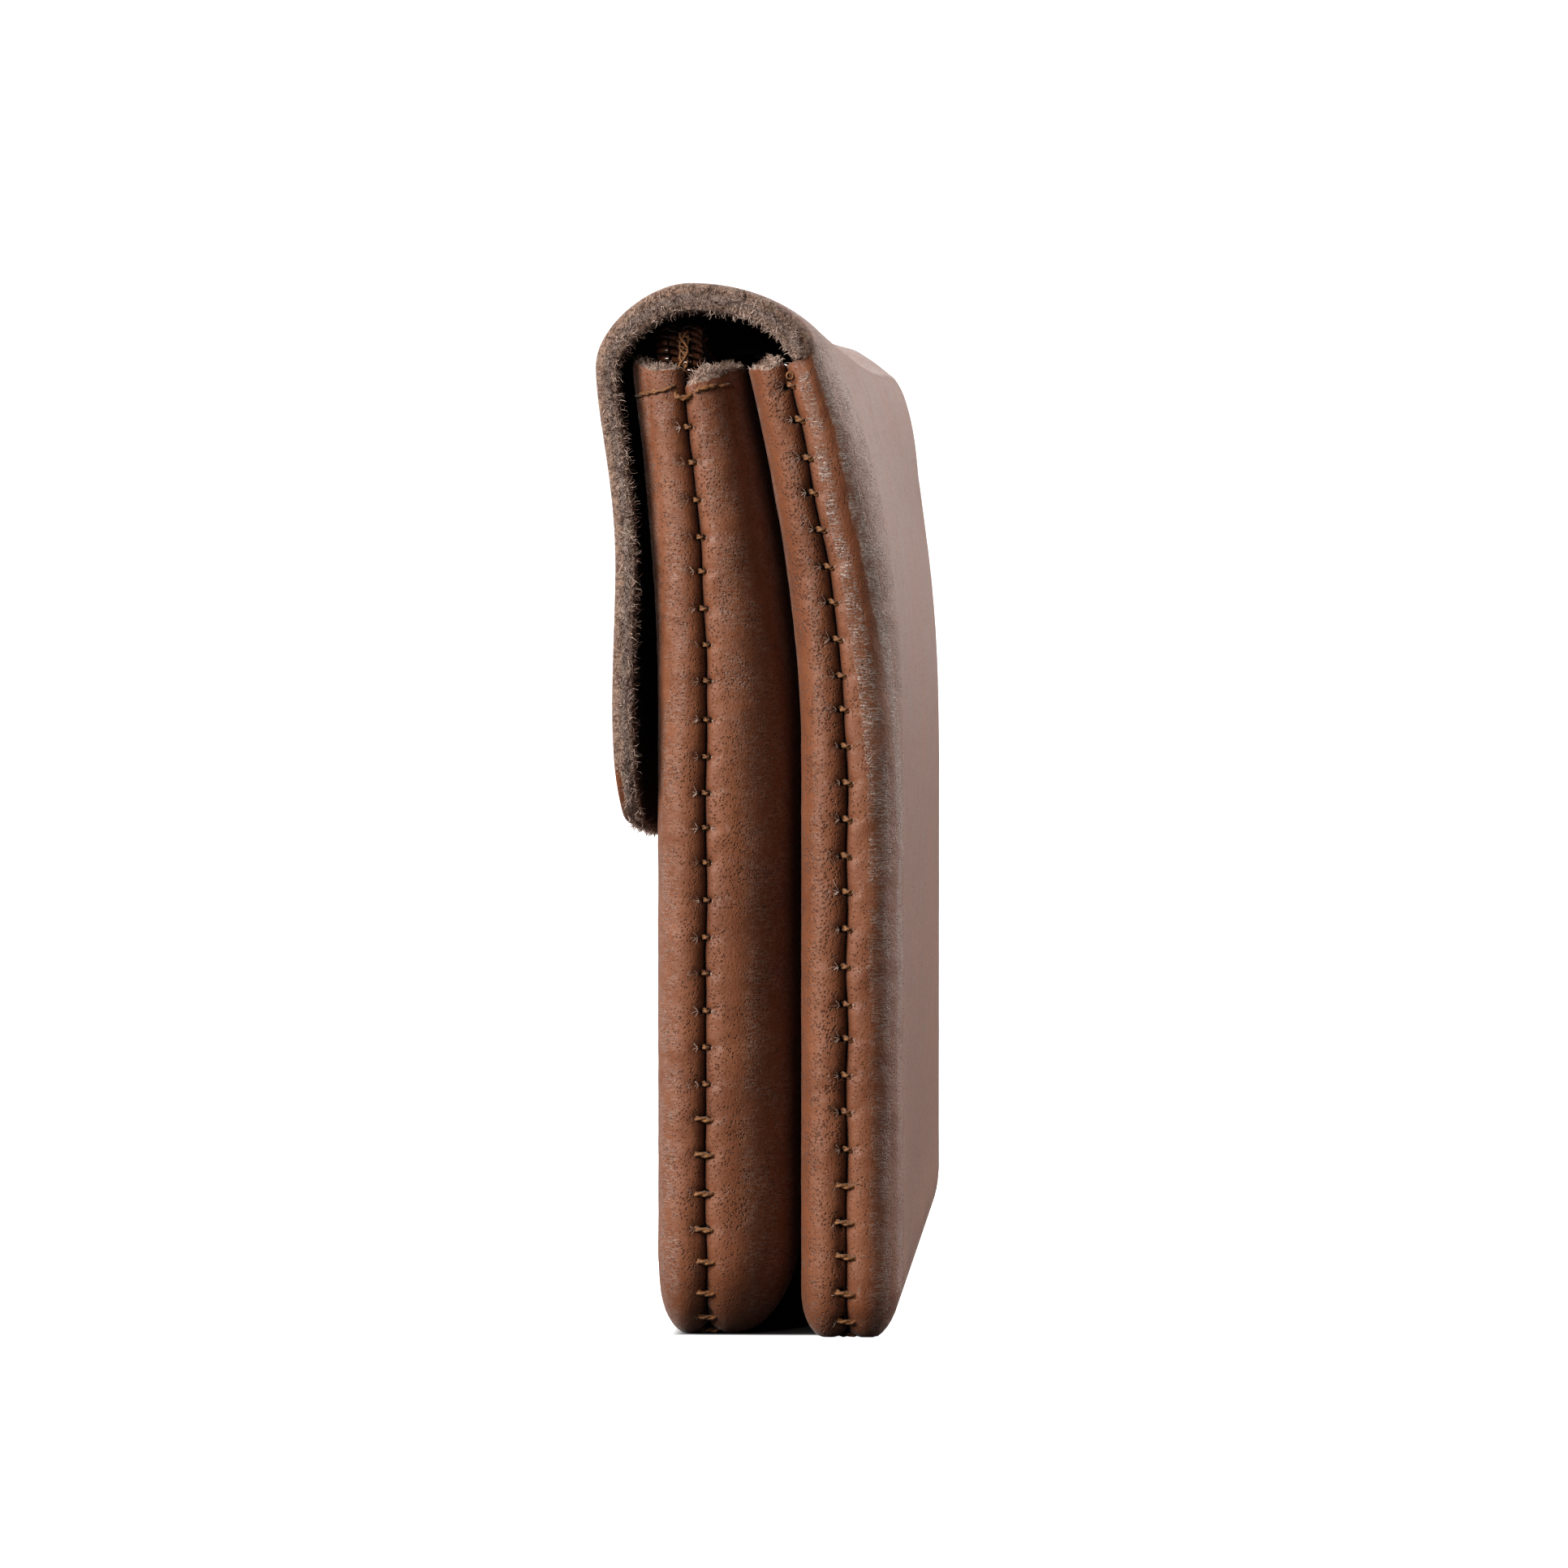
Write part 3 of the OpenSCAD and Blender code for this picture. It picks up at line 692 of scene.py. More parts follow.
def leather_finish(name, pore_size, net_bands, streak_bands, low_share, high_share):
    """Waxed vegetable-tanned leather: mottled tan, with painted shade in the seam's groove and in the needle holes,
    with pores, pale strokes in bands round the rolled edge, raw fibre at the cuts and brown nap on the flesh side."""
    n, dress, where = new_material(name)
    roll, raw, flesh, pull, hole = (n.mark(k) for k in MARKS)
    covered = raw | flesh
    mottle = n.group(MOTTLE, Vector=where, Contrast=1.1)[0]
    pores = n.group(PORES, Vector=where, Spacing=4100.0, Size=pore_size)[0]
    base = n.mix(n.ramp(mottle, 0.2, 0.8), TAN_DEEP, TAN)
    # Painted shade: the faces that turn into the seam's groove are darkened towards near black.
    base = n.mix(n.ramp(roll, -0.95, -0.4, 1.0, 0.0) * 0.8, base, GROOVE_PAINTED_SHADE)
    # Pale strokes, shared out by height and kept off the flat faces.
    height = n.part(where, "Z")
    up = n.ramp(height, 0.018, 0.055, low_share, high_share)
    stray = n.noise(n.scaled(where, (1, 1, 1.6)), 650.0, 3.0, 0.7) - 0.5
    bent = n.ramp(roll, 0.95, 0.99, 1.0, 0.0)
    across = roll + stray * 0.5
    roll = roll + stray * 0.14 - n.ramp(height, 0.038, 0.066, 0.42, 0.0)
    net = n.group(STROKES, Vector=where, Scale=1750.0, Squeeze=4.5, Width=0.12, Patches=700.0)[0]
    streaks = n.group(STROKES, Vector=where, Scale=1000.0, Squeeze=7.0, Width=0.08, Patches=420.0)[0]
    in_net, in_streaks = band_share(n, roll, net_bands), band_share(n, roll, streak_bands)
    wax = (net * ((in_net + 0.012) * up)) | (streaks * ((in_streaks + 0.01) * up))
    wax = wax * (bent * (1.0 - covered))
    base = n.mix(in_net * (up * bent) * 0.02, base, PALE)
    base = n.mix(pores * 0.6, base, PORE_DARK)
    base = n.mix(wax * 0.9, base, PALE)
    torn = pull * n.ramp(n.noise(where, 2100.0, 3.0, 0.7, 0.8), 0.52, 0.6)
    base = n.mix(torn * 0.22, base, PALE)
    # Painted shade: the needle holes are painted near black.
    base = n.mix(n.ramp(hole, 0.18, 0.5, 0.0, 0.95), base, HOLE_PAINTED_SHADE)
    # Raw cuts and the flesh side.
    fibre, strands = n.group(FIBROUS, Vector=where, Scale=2300.0)
    core = n.ramp(abs(across - 1.45), 0.08, 0.36, 1.0, 0.0)
    light_cut = n.mix(core, (0.36, 0.22, 0.15), (0.33, 0.235, 0.195))
    light_cut = n.mix(n.ramp(across, 1.6, 1.95), light_cut, (0.6, 0.41, 0.31))
    dark_cut = n.mix(core, (0.1, 0.045, 0.026), (0.13, 0.08, 0.058))
    cut = n.mix(n.ramp(fibre, 0.38, 0.62), dark_cut, light_cut)
    cut = n.mix(strands * 0.4, cut, (0.6, 0.5, 0.44))
    nap = n.mix(n.ramp(fibre, 0.3, 0.7), (0.09, 0.04, 0.024), (0.24, 0.125, 0.08))
    ragged = n.ramp(raw + (fibre - 0.5) * 1.4, 0.35, 0.6)
    base = n.mix(ragged * n.ramp(raw, 0.0, 0.15), base, cut)
    base = n.mix(flesh * (1.0 - raw), base, nap)

    rough = n.math("ADD", n.ramp(mottle, 0.2, 0.8, 0.48, 0.6), covered * 0.4, clamp=True)
    relief = n.cells(n.scaled(where, (1, 1, 0.75)), 5200.0) * 0.35 + pores * -0.9
    relief = relief + n.noise(where, 1500.0, 4.0, 0.6) * 0.8 + wax * 0.7 + fibre * (covered * 5.0)
    return dress(
        Base_Color=base, Roughness=n.math("ADD", rough, wax * 0.2, clamp=True), Specular_IOR_Level=0.38,
        Sheen_Weight=0.2, Sheen_Roughness=0.3, Normal=n.bump(relief, 0.00006),
    )


def thread_finish():
    n, dress, where = new_material("thread_ochre")
    twist, fuzz = n.noise(where, 3800.0, 3.0, 0.6), n.noise(where, 9000.0, 2.0, 0.6)
    base = n.mix(n.ramp(twist, 0.3, 0.7), (0.12, 0.042, 0.012), (0.33, 0.145, 0.045))
    return dress(
        Base_Color=n.mix(n.ramp(fuzz, 0.6, 0.8), base, (0.42, 0.24, 0.1)), Sheen_Weight=0.2,
        Roughness=n.ramp(twist, 0.2, 0.8, 0.42, 0.65), Normal=n.bump(twist + fuzz * 0.5, 0.00004),
    )


def fibre_finish(name, dark, light):
    n, dress, where = new_material(name)
    return dress(
        Base_Color=n.mix(n.ramp(n.noise(where, 700.0, 3.0, 0.7), 0.35, 0.65), dark, light),
        Roughness=n.ramp(n.noise(where, 2500.0, 2.0), 0.3, 0.7, 0.6, 0.85),
    )


def nylon_finish():
    n, dress, where = new_material("coil_nylon")
    streak = n.noise(where, 1800.0, 3.0, 0.6)
    return dress(
        Base_Color=n.mix(n.ramp(streak, 0.3, 0.7), (0.04, 0.014, 0.008), (0.13, 0.048, 0.024)), Coat_Weight=1.0,
        Roughness=n.ramp(streak, 0.3, 0.7, 0.12, 0.26), Normal=n.bump(streak, 0.00002),
    )


def tape_finish():
    n, dress, where = new_material("tape_twill")
    feeds = {"Vector": n.scaled(where, (1, 0.2, 1)), "Scale": 620, "Distortion": 0.6}
    rib = n.out("ShaderNodeTexWave", feeds, "Fac", wave_type="BANDS", bands_direction="DIAGONAL")
    weft = n.noise(where, 3000.0, 3.0, 0.7)
    base = n.mix(n.ramp(rib, 0.2, 0.8), (0.02, 0.007, 0.004), (0.085, 0.034, 0.018))
    return dress(
        Base_Color=n.mix(n.ramp(weft, 0.55, 0.75), base, (0.14, 0.07, 0.04)), Sheen_Weight=0.25,
        Roughness=n.ramp(weft, 0.3, 0.7, 0.7, 0.95), Normal=n.bump(rib + weft, 0.00008),
    )


def brass_finish(name, bright, dark):
    n, dress, where = new_material(name)
    tarnish = n.noise(where, 500.0, 5.0, 0.65)
    scratch = n.noise(n.scaled(where, (1, 8, 1)), 1500.0, 2.0)
    return dress(
        Base_Color=n.mix(n.ramp(tarnish, 0.42, 0.68), bright, dark), Metallic=1.0,
        Roughness=n.ramp(tarnish, 0.3, 0.7, 0.22, 0.4) + scratch * 0.1,
        Normal=n.bump(scratch + tarnish * 0.5, 0.00001),
    )


FLAP_LEATHER = leather_finish(
    "flap_leather", 0.3, [(0.2, 0.4, 1.0), (0.8, 0.93, 0.7)], [(-0.36, 0.02, 1.0), (0.45, 0.7, 0.4)], 0.3, 1.0)
REAR_LEATHER = leather_finish("rear_pocket_leather", 0.44, [(0.6, 0.9, 0.15)], [(-0.3, 0.0, 0.2)], 0.6, 1.0)
FRONT_LEATHER = leather_finish("front_pocket_leather", 0.36, [(0.4, 0.95, 0.3)], [(-0.25, 0.3, 0.3)], 1.0, 0.8)
FIBRE = fibre_finish("cut_fibre", (0.12, 0.06, 0.04), (0.66, 0.5, 0.42))
MOUTH_FIBRE = fibre_finish("mouth_fibre", (0.22, 0.12, 0.08), (0.82, 0.64, 0.53))
PALE_FIBRE = fibre_finish("pulled_fibre", (0.3, 0.19, 0.14), (0.72, 0.57, 0.48))
THREAD_FINISH, NYLON, TAPE = thread_finish(), nylon_finish(), tape_finish()
BRASS = brass_finish("stud_brass", (0.5, 0.36, 0.19), (0.2, 0.13, 0.07))
ZIP_BRASS = brass_finish("zip_brass", (0.47, 0.34, 0.18), (0.18, 0.12, 0.065))

# ---------------------------------------------------------------- node trees for what repeats


def copies_on(n, end, points, piece, turn, size, finish):
    """Ends a tree: a copy of the piece on each point, made real and given its finish."""
    feeds = {"Points": points, "Instance": piece, "Rotation": turn, "Scale": size}
    real = n.out("GeometryNodeRealizeInstances", {0: n.out("GeometryNodeInstanceOnPoints", feeds)})
    n.feed(end.inputs[0], n.out("GeometryNodeSetMaterial", {"Geometry": real, "Material": finish}))
    return n.tree


def set_tree():
    """Sets a copy of a piece on each point, turned and sized as the point says."""
    inputs = [("Points", "Geometry", None), ("Piece", "Object", None), ("Size jitter", "Float", 0.1),
              ("Seed", "Int", 1), ("Finish", "Material", None)]
    n, (points, piece, jitter, seed, finish), end = node_group(
        "set_on_points", "Geometry", inputs, [("Result", "Geometry")])
    turn, size = (
        n.out("GeometryNodeInputNamedAttribute", {"Name": name}, "Attribute", data_type="FLOAT_VECTOR")
        for name in ("turn", "size")
    )
    feeds = {2: 1.0 - jitter, 3: n.math("ADD", 1.0, jitter), "Seed": seed}
    vary = n.out("FunctionNodeRandomValue", feeds, 1, data_type="FLOAT")
    sized = n.out("ShaderNodeVectorMath", {0: size, "Scale": vary}, operation="SCALE")
    shape = n.out("GeometryNodeObjectInfo", {"Object": piece}, "Geometry")
    return copies_on(n, end, points, shape, n.out("FunctionNodeEulerToRotation", {0: turn}), sized, finish)


def fibre_tree():
    """Short bent fibres that stand out of a surface."""
    inputs = [("Surface", "Geometry", None), ("Density", "Float", 1e6), ("Length", "Float", 0.0005),
              ("Radius", "Float", 0.00003), ("Lean", "Float", 1.0), ("Seed", "Int", 1), ("Finish", "Material", None)]
    n, (surface, density, length, radius, lean_by, seed, finish), end = node_group(
        "stand_fibres", "Geometry", inputs, [("Result", "Geometry")])
    fibre = n.out("GeometryNodeCurveQuadraticBezier", {
        "Resolution": 3, "Start": (0, 0, -0.00005), "Middle": n.vector(length * 0.1, 0.0, length * 0.6),
        "End": n.vector(length * 0.6, length * 0.15, length * 0.6),
    })
    taper = 1.0 - n.out("GeometryNodeSplineParameter", (), "Factor") * 0.8
    strand = n.put("GeometryNodeCurveToMesh", {
        "Curve": n.out("GeometryNodeSetCurveRadius", {"Curve": fibre, "Radius": taper}),
        "Profile Curve": n.out("GeometryNodeCurvePrimitiveCircle", {"Resolution": 3, "Radius": radius}),
        "Fill Caps": True,
    })
    if "Scale" in strand.inputs:
        n.feed(strand.inputs["Scale"], taper)
    feeds = {"Mesh": surface, "Density": density, "Seed": seed}
    spread = n.put("GeometryNodeDistributePointsOnFaces", feeds, distribute_method="RANDOM")
    least = n.vector(lean_by * -1.0, lean_by * -1.0, -3.1)
    feeds = {0: least, 1: n.vector(lean_by, lean_by, 3.1), "Seed": seed}
    tilt = n.out("FunctionNodeEulerToRotation", {0: n.out("FunctionNodeRandomValue", feeds, data_type="FLOAT_VECTOR")})
    feeds = {0: Wire(n, spread.outputs["Rotation"]), 1: tilt}
    turned = n.out("FunctionNodeRotateRotation", feeds, rotation_space="LOCAL")
    vary = n.out("FunctionNodeRandomValue", {2: 0.35, 3: 1.35, "Seed": seed}, 1, data_type="FLOAT")
    points = Wire(n, spread.outputs["Points"])
    return copies_on(n, end, points, Wire(n, strand.outputs[0]), turned, vary, finish)


SET_ON_POINTS, STAND_FIBRES = set_tree(), fibre_tree()


def grown(name, data, tree, **values):
    """The plain mesh that a node tree makes from data."""
    source = add("source_" + name, data)
    live = source.modifiers.new("grow", "NODES")
    live.node_group = tree
    ids = {i.name: i.identifier for i in tree.interface.items_tree if i.in_out == "INPUT"}
    for key, value in values.items():
        live[ids[key.replace("_", " ")]] = value
    bpy.context.view_layer.update()
    result = bpy.data.meshes.new_from_object(source.evaluated_get(bpy.context.evaluated_depsgraph_get()))
    source.modifiers.remove(live)
    bpy.data.objects.remove(source)
    result.name = name
    return smoothed(result)


def points_mesh(name, places, turns, sizes):
    data = bpy.data.meshes.new(name)
    data.from_pydata((np.asarray(places) * MM).tolist(), [], [])
    data.attributes.new("turn", "FLOAT_VECTOR", "POINT").data.foreach_set("vector", np.asarray(turns).ravel())
    data.attributes.new("size", "FLOAT_VECTOR", "POINT").data.foreach_set("vector", np.asarray(sizes).ravel())
    return data


def turn_to(across, out):
    """The turn that lays a piece's X along across and its Z along out."""
    x = Vector(across).normalized()
    z = (Vector(out) - x * Vector(out).dot(x)).normalized()
    y = z.cross(x)
    return tuple(Matrix((x, y, z)).transposed().to_euler())


def tube(path, radius, sides, close=True):
    """Points and faces of a round bar along a path; radius may vary."""
    path = np.asarray(path, float)
    count = len(path)
    radius = np.broadcast_to(radius, count)
    tangent = heading(path)
    normal = np.cross(tangent[0], [0.31, 0.2, 0.93])
    points = []
    for i in range(count):
        normal = normal - tangent[i] * normal.dot(tangent[i])
        normal /= np.linalg.norm(normal)
        other = np.cross(tangent[i], normal)
        for j in range(sides):
            a = 2 * math.pi * j / sides
            points.append(path[i] + radius[i] * (math.cos(a) * normal + math.sin(a) * other))
    faces = [
        [i * sides + j, i * sides + (j + 1) % sides, (i + 1) * sides + (j + 1) % sides, (i + 1) * sides + j]
        for i in range(count - 1) for j in range(sides)
    ]
    if close:
        faces += [list(range(sides))[::-1], [(count - 1) * sides + j for j in range(sides)]]
    return points, faces


def gathered(parts):
    points, faces = [], []
    for p, f in parts:
        start = len(points)
        points += list(p)
        faces += [[i + start for i in face] for face in f]
    return points, faces


def twisted(path, radius, turns):
    """A thread of two plies laid round each other along a path."""
    path = np.asarray(path, float)
    tangent = heading(path)
    side = np.cross(tangent, [0.1, 0.25, 0.96])
    side /= np.linalg.norm(side, axis=1)[:, None]
    up = np.cross(side, tangent)
    t = np.linspace(0, 1, len(path))
    parts = []
    for ply in (0, 1):
        a = 2 * math.pi * (turns * t + ply / 2)
        line = path + radius * 0.5 * (np.cos(a)[:, None] * side + np.sin(a)[:, None] * up)
        parts.append(tube(line, radius * 0.62, 5))
    return gathered(parts)


def prototype(name, points, faces):
    piece = add(name, mesh_of(name, points, faces))
    piece.hide_render = True
    return piece


def arc(span, drop):
    t = np.linspace(-1, 1, 9)
    return np.stack([t * span / 2, 0 * t, -drop * np.abs(t) ** 2.2], -1)


# ---------------------------------------------------------------- leather

# The rear pocket's front and the zipped pocket's two panels.
for name, p, finish, node in (
    ("pocket_rear_front", REAR_FRONT, REAR_LEATHER, "rear_pocket_front"),
    ("pocket_front_back", FRONT_BACK, FRONT_LEATHER, "front_pocket_back"),
    ("pocket_front_front", FRONT, FRONT_LEATHER, "front_pocket_front"),
):
    skin = Skin()
    outer, inner = panel_skin(p, skin)
    mouth_rim(p, outer, inner, skin, {"pocket_rear_front": 0.95, "pocket_front_back": 1.65}.get(name, 0.3))
    piece = add(name, skin.mesh(name), finish)
    settle(piece, "pouch", "pocket_leather", node)

# The back and the flap are one piece of leather. FLAP_CURVES is the flap's outer line from the top of the back.
HINGE_Z = 76.8
HINGE = np.array([float(back_face(np.array(HINGE_Z))), HINGE_Z])
FLAP_LOW = 38.0
FLAP_CORNER = 7.0
FLAP_BOW = 1.8
FLAP_CURVES = [
    [HINGE, HINGE + [-1.0, 1.9], [1.2, 81.7], [-4.8, 81.7]],
    [[-4.8, 81.7], [-8.1, 81.7], [-12.1, 78.2], [-12.1, 75.3]],
    [[-12.1, 75.3], [-12.1, 71.5], [-10.6, 66.5], [-10.6, 60]],
    [[-10.6, 60], [-10.6, 56], [-10.9, 52], [-10.85, 48]],
    [[-10.85, 48], [-10.8, 44], [-10.3, 41], [-9.9, FLAP_LOW - 1]],
]


def flap_track():
    u = np.linspace(0, 1, 121)[:, None]
    line = []
    for a, b, c, d in (np.array(c, float) for c in FLAP_CURVES):
        line.append(((1 - u) ** 3 * a + 3 * (1 - u) ** 2 * u * b + 3 * (1 - u) * u * u * c + u**3 * d)[:-1])
    line = np.concatenate(line + [np.array([FLAP_CURVES[-1][3]], float)])
    ahead = heading(line)
    return line, way_along(line), np.stack([ahead[:, 1], -ahead[:, 0]], -1)


TRACK, WAY, TRACK_OUT = flap_track()


def on_track(s):
    s = np.asarray(s, float)
    point = np.stack([np.interp(s, WAY, TRACK[:, i]) for i in (0, 1)], -1)
    out = np.stack([np.interp(s, WAY, TRACK_OUT[:, i]) for i in (0, 1)], -1)
    return point, out / np.linalg.norm(out, axis=-1, keepdims=True)


def low_edge(x):
    flat = HALF - FLAP_CORNER
    side = np.clip((np.abs(x) - flat) / FLAP_CORNER, 0, 1)
    corner = FLAP_LOW + FLAP_BOW + FLAP_CORNER * (1 - np.sqrt(1 - side * side))
    return np.where(np.abs(x) <= flat, FLAP_LOW + FLAP_BOW * (x / flat) ** 2, corner)


def track_end(x):
    front = WAY > 30
    return np.interp(-low_edge(x), -TRACK[front, 1], WAY[front])


FLAP_LONG = float(track_end(np.array(0.0)))
FLAP_STEPS = np.concatenate([
    np.arange(0, 12, 0.3), np.arange(12, FLAP_LONG - 1.4, 0.45),
    FLAP_LONG - np.array([1.1, 0.8, 0.55, 0.38, 0.24, 0.12, 0.04, 0]),
]) / FLAP_LONG
SPLIT = 30
EDGE_STEPS = 8


def flap_sheets(back_outer, back_inner):
    count = len(ROLL_ANGLES)
    b = np.radians(np.concatenate([ROLL_ANGLES, np.full(COLUMNS - 1, 90), ROLL_ANGLES[::-1]]))
    hand, t = lines_across(count)
    t[count - 1], t[-count] = -1, 1
    outer, inner = [], []
    for tau in FLAP_STEPS:
        s0 = tau * FLAP_LONG
        settle = float(smooth(s0 / 10))
        for which, wide in (("outer", 6 + settle), ("inner", 7.6 - 0.6 * settle)):
            e = wide * (1 - np.cos(b))
            x = np.where(hand == 0, (HALF - wide) * t, hand * (HALF - e))
            s = tau * track_end(x)
            point, out = on_track(s)
            full = fuller(BACK, x, point[:, 1]) * (point[:, 0] > -4)
            if which == "outer":
                er = 0.5 + 5.5 * math.exp(-s0 / 3.0)
                dr = 0.42 + 1.35 * math.exp(-s0 / 3.2)
                drop = dr * (1 - np.sqrt(1 - np.clip((er - e) / er, 0, 1) ** 2))
                end = track_end(x) - s
                drop = drop + 0.42 * (1 - np.sqrt(1 - np.clip((0.5 - end) / 0.5, 0, 1) ** 2))
            else:
                bunch = 0.95 * math.exp(-((s0 / 4.0) ** 2)) * smooth((np.abs(x) - 46) / 8)
                drop = FLAP_T - 0.5 * smooth((s - 17) / 9) + bunch
            yz = point - out * drop[:, None]
            row = np.stack([x, yz[:, 0] + full, yz[:, 1] - droop(x, point[:, 0], point[:, 1])], -1)
            (outer if which == "outer" else inner).append(row)
    outer, inner = np.array(outer), np.array(inner)
    # The first row meets the back panel, and the difference dies away along the flap.
    pick = np.arange(FIRST_ROLL, 2 * LAST + COLUMNS + 1 - FIRST_ROLL)
    fade = np.exp(-FLAP_STEPS * FLAP_LONG / 1.6)[:, None, None]
    outer = outer + (back_outer["main"][0][pick] - outer[0]) * fade
    join = back_inner["main"][0][pick] - inner[0]
    join[hand != 0] = join[count - 1]
    inner = inner + join * fade
    return outer, inner, pick


def cut_path(grid):
    """The line along a grid's first side, its last row and back along its other side."""
    return np.concatenate([grid[:, 0], grid[-1, 1:], grid[::-1, -1][1:]])


def cut_strip(outer, inner, seed):
    """The cut edge of the flap, from its grain to its flesh, along its sides and lower edge."""
    o, i = cut_path(outer), cut_path(inner)
    centre = np.array([0, -3.0, 64.0])
    along = np.gradient(o, axis=0)
    across = i - o
    out = np.cross(along, across)
    out /= np.maximum(np.linalg.norm(out, axis=1), 1e-9)[:, None]
    flip = np.sign(np.einsum("ij,ij->i", out, (o + i) / 2 - centre))
    flip[flip == 0] = 1
    out *= flip[:, None]
    rows = []
    for s in np.linspace(0, 1, EDGE_STEPS + 1):
        row = o + across * s
        if 0 < s < 1:
            rough = 0.07 * ripple(row, 0.75, seed) + 0.05 * ripple(row, 2.2, seed + 1)
            row = row + out * (0.18 * 4 * s * (1 - s) + rough)[:, None]
        rows.append(row)
    return np.array(rows), out


back_skin = Skin()
back_outer, back_inner = panel_skin(BACK, back_skin)
flap_outer, flap_inner, pick = flap_sheets(back_outer, back_inner)
strip, strip_out = cut_strip(flap_outer, flap_inner, 31)
rows_all = len(FLAP_STEPS)
raw_share = np.ones((EDGE_STEPS + 1, 1))
raw_share[0] = 0.7
across_cut = 1 + np.linspace(0, 1, EDGE_STEPS + 1)[:, None]

# The back's rolled edge ends in a raw cut below the flap's root.
for lines in (slice(0, FIRST_ROLL + 1), slice(len(back_outer["angle"]) - FIRST_ROLL - 1, None)):
    mouth_rim(BACK, back_outer, back_inner, back_skin, 0.5, lines=lines)
count = len(ROLL_ANGLES)
for columns in (slice(0, count), slice(-count, None)):
    back_skin.patch(np.stack([flap_inner[0][columns], back_inner["main"][0][pick][columns]]), flesh=1.0, raw=0.5)
flap_roll = np.concatenate([ROLL_ANGLES, np.full(COLUMNS - 1, 90), ROLL_ANGLES[::-1]]) / 90
settled = smooth(FLAP_STEPS * FLAP_LONG / 6)[:, None]
flap_roll_grid = flap_roll[None] * (1 - settled) + settled


def wrap_part(skin, first, last):
    rows = slice(first, last + 1)
    columns = np.arange(flap_outer.shape[1])
    columns = np.minimum(columns, columns[::-1])
    worn = np.interp(columns, [0, 2, 3, 4], [0.85, 0.7, 0.45, 0])[None]
    skin.patch(flap_outer[rows], roll=flap_roll_grid[rows], raw=worn)
    worn = np.interp(columns, [0, 2, 4], [0.9, 0.6, 0])[None]
    skin.patch(flap_inner[rows], flesh=1.0, roll=1.0, raw=worn)
    left = strip[:, rows]
    right = strip[:, ::-1][:, rows]
    skin.patch(left, raw=raw_share, roll=across_cut)
    skin.patch(right, raw=raw_share, roll=across_cut)
    return left, right


wrap_part(back_skin, 0, SPLIT)
back_skin.patch(np.stack([flap_outer[SPLIT], flap_inner[SPLIT]]), flesh=1.0)
flap_skin = Skin()
wrap_part(flap_skin, SPLIT, rows_all - 1)
flap_skin.patch(strip[:, rows_all - 1: strip.shape[1] - rows_all + 1], raw=raw_share, roll=across_cut)
flap_skin.patch(np.stack([flap_outer[SPLIT], flap_inner[SPLIT]]), flesh=1.0)

back_piece = add("leather_back_and_bend", back_skin.mesh("leather_back_and_bend"), FLAP_LEATHER)
flap_piece = add("leather_flap", flap_skin.mesh("leather_flap"), FLAP_LEATHER)
first_way = np.array([0, -0.45, 0.89])
hinge_point = np.array([0, HINGE[0], HINGE[1]])
blend_ends = ("pouch", "flap", tuple((hinge_point + 0.8 * first_way) * MM), tuple((hinge_point + 5.0 * first_way) * MM))
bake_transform(back_piece)
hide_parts("back_panel")
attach(flap_piece, "flap")
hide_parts("flap")


# ---------------------------------------------------------------- raw fibres


def facing(grid, way):
    """The grid, turned over if its faces don't look the given way."""
    across = np.cross(grid[1:, :-1] - grid[:-1, :-1], grid[:-1, 1:] - grid[:-1, :-1])
    way = np.broadcast_to(way, across.shape)
    return grid if (across * way).sum() < 0 else grid[:, ::-1]


def surface_mesh(name, grids):
    points, faces, start = [], [], 0
    for grid in grids:
        r, c = grid.shape[:2]
        faces.append(squares(start, r, c))
        points.append(grid.reshape(-1, 3))
        start += r * c
    return mesh_of(name, np.concatenate(points), np.concatenate(faces), False)


def fibres(name, grids, body, density, length, radius, seed, lean=1.0, finish=FIBRE, bend=None):
    data = grown(
        name, surface_mesh("under_" + name, grids), STAND_FIBRES, Density=density * 1e6, Length=length * MM,
        Radius=radius * MM, Lean=lean, Seed=seed, Finish=finish,
    )
    piece = add(name, data)
    if bend:
        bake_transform(piece)
    else:
        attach(piece, body)
    return piece


cut_out = np.broadcast_to(strip_out, strip.shape)
length = strip.shape[1]


def cut_part(first, last):
    return facing(strip[:, first:last], cut_out[1:, first:last - 1])


bend_cut = [cut_part(0, SPLIT + 1), cut_part(length - SPLIT - 1, length)]
flap_cut = [cut_part(SPLIT, length - SPLIT)]
bend_rim, flap_rim = [], []
for columns in (slice(0, 5), slice(-5, None)):
    into = (flap_inner - flap_outer)[:, columns]
    bend_rim.append(facing(flap_inner[: SPLIT + 1, columns], into[:SPLIT, :4]))
    flap_rim.append(facing(flap_inner[SPLIT:, columns], into[SPLIT:-1, :4]))
mouth_cuts = [facing(g, np.array([np.sign(g[..., 0].mean()) * 0.6, 0, 1.0])) for g in FRAYED]
fibres("fibres_bend", bend_cut, None, 26, 0.6, 0.036, 5, bend=blend_ends)
fibres("fibres_bend_inside", bend_rim, None, 20, 0.5, 0.036, 7, 1.1, MOUTH_FIBRE, blend_ends)
fibres("fibres_flap_edge", flap_cut, "flap", 16, 0.6, 0.04, 6)
fibres("fibres_flap_inside", flap_rim, "flap", 18, 0.6, 0.036, 8, 1.1, MOUTH_FIBRE)
fibres("fibres_mouths", mouth_cuts, "pouch", 34, 0.5, 0.036, 9, 1.1, MOUTH_FIBRE)

# ---------------------------------------------------------------- stitches


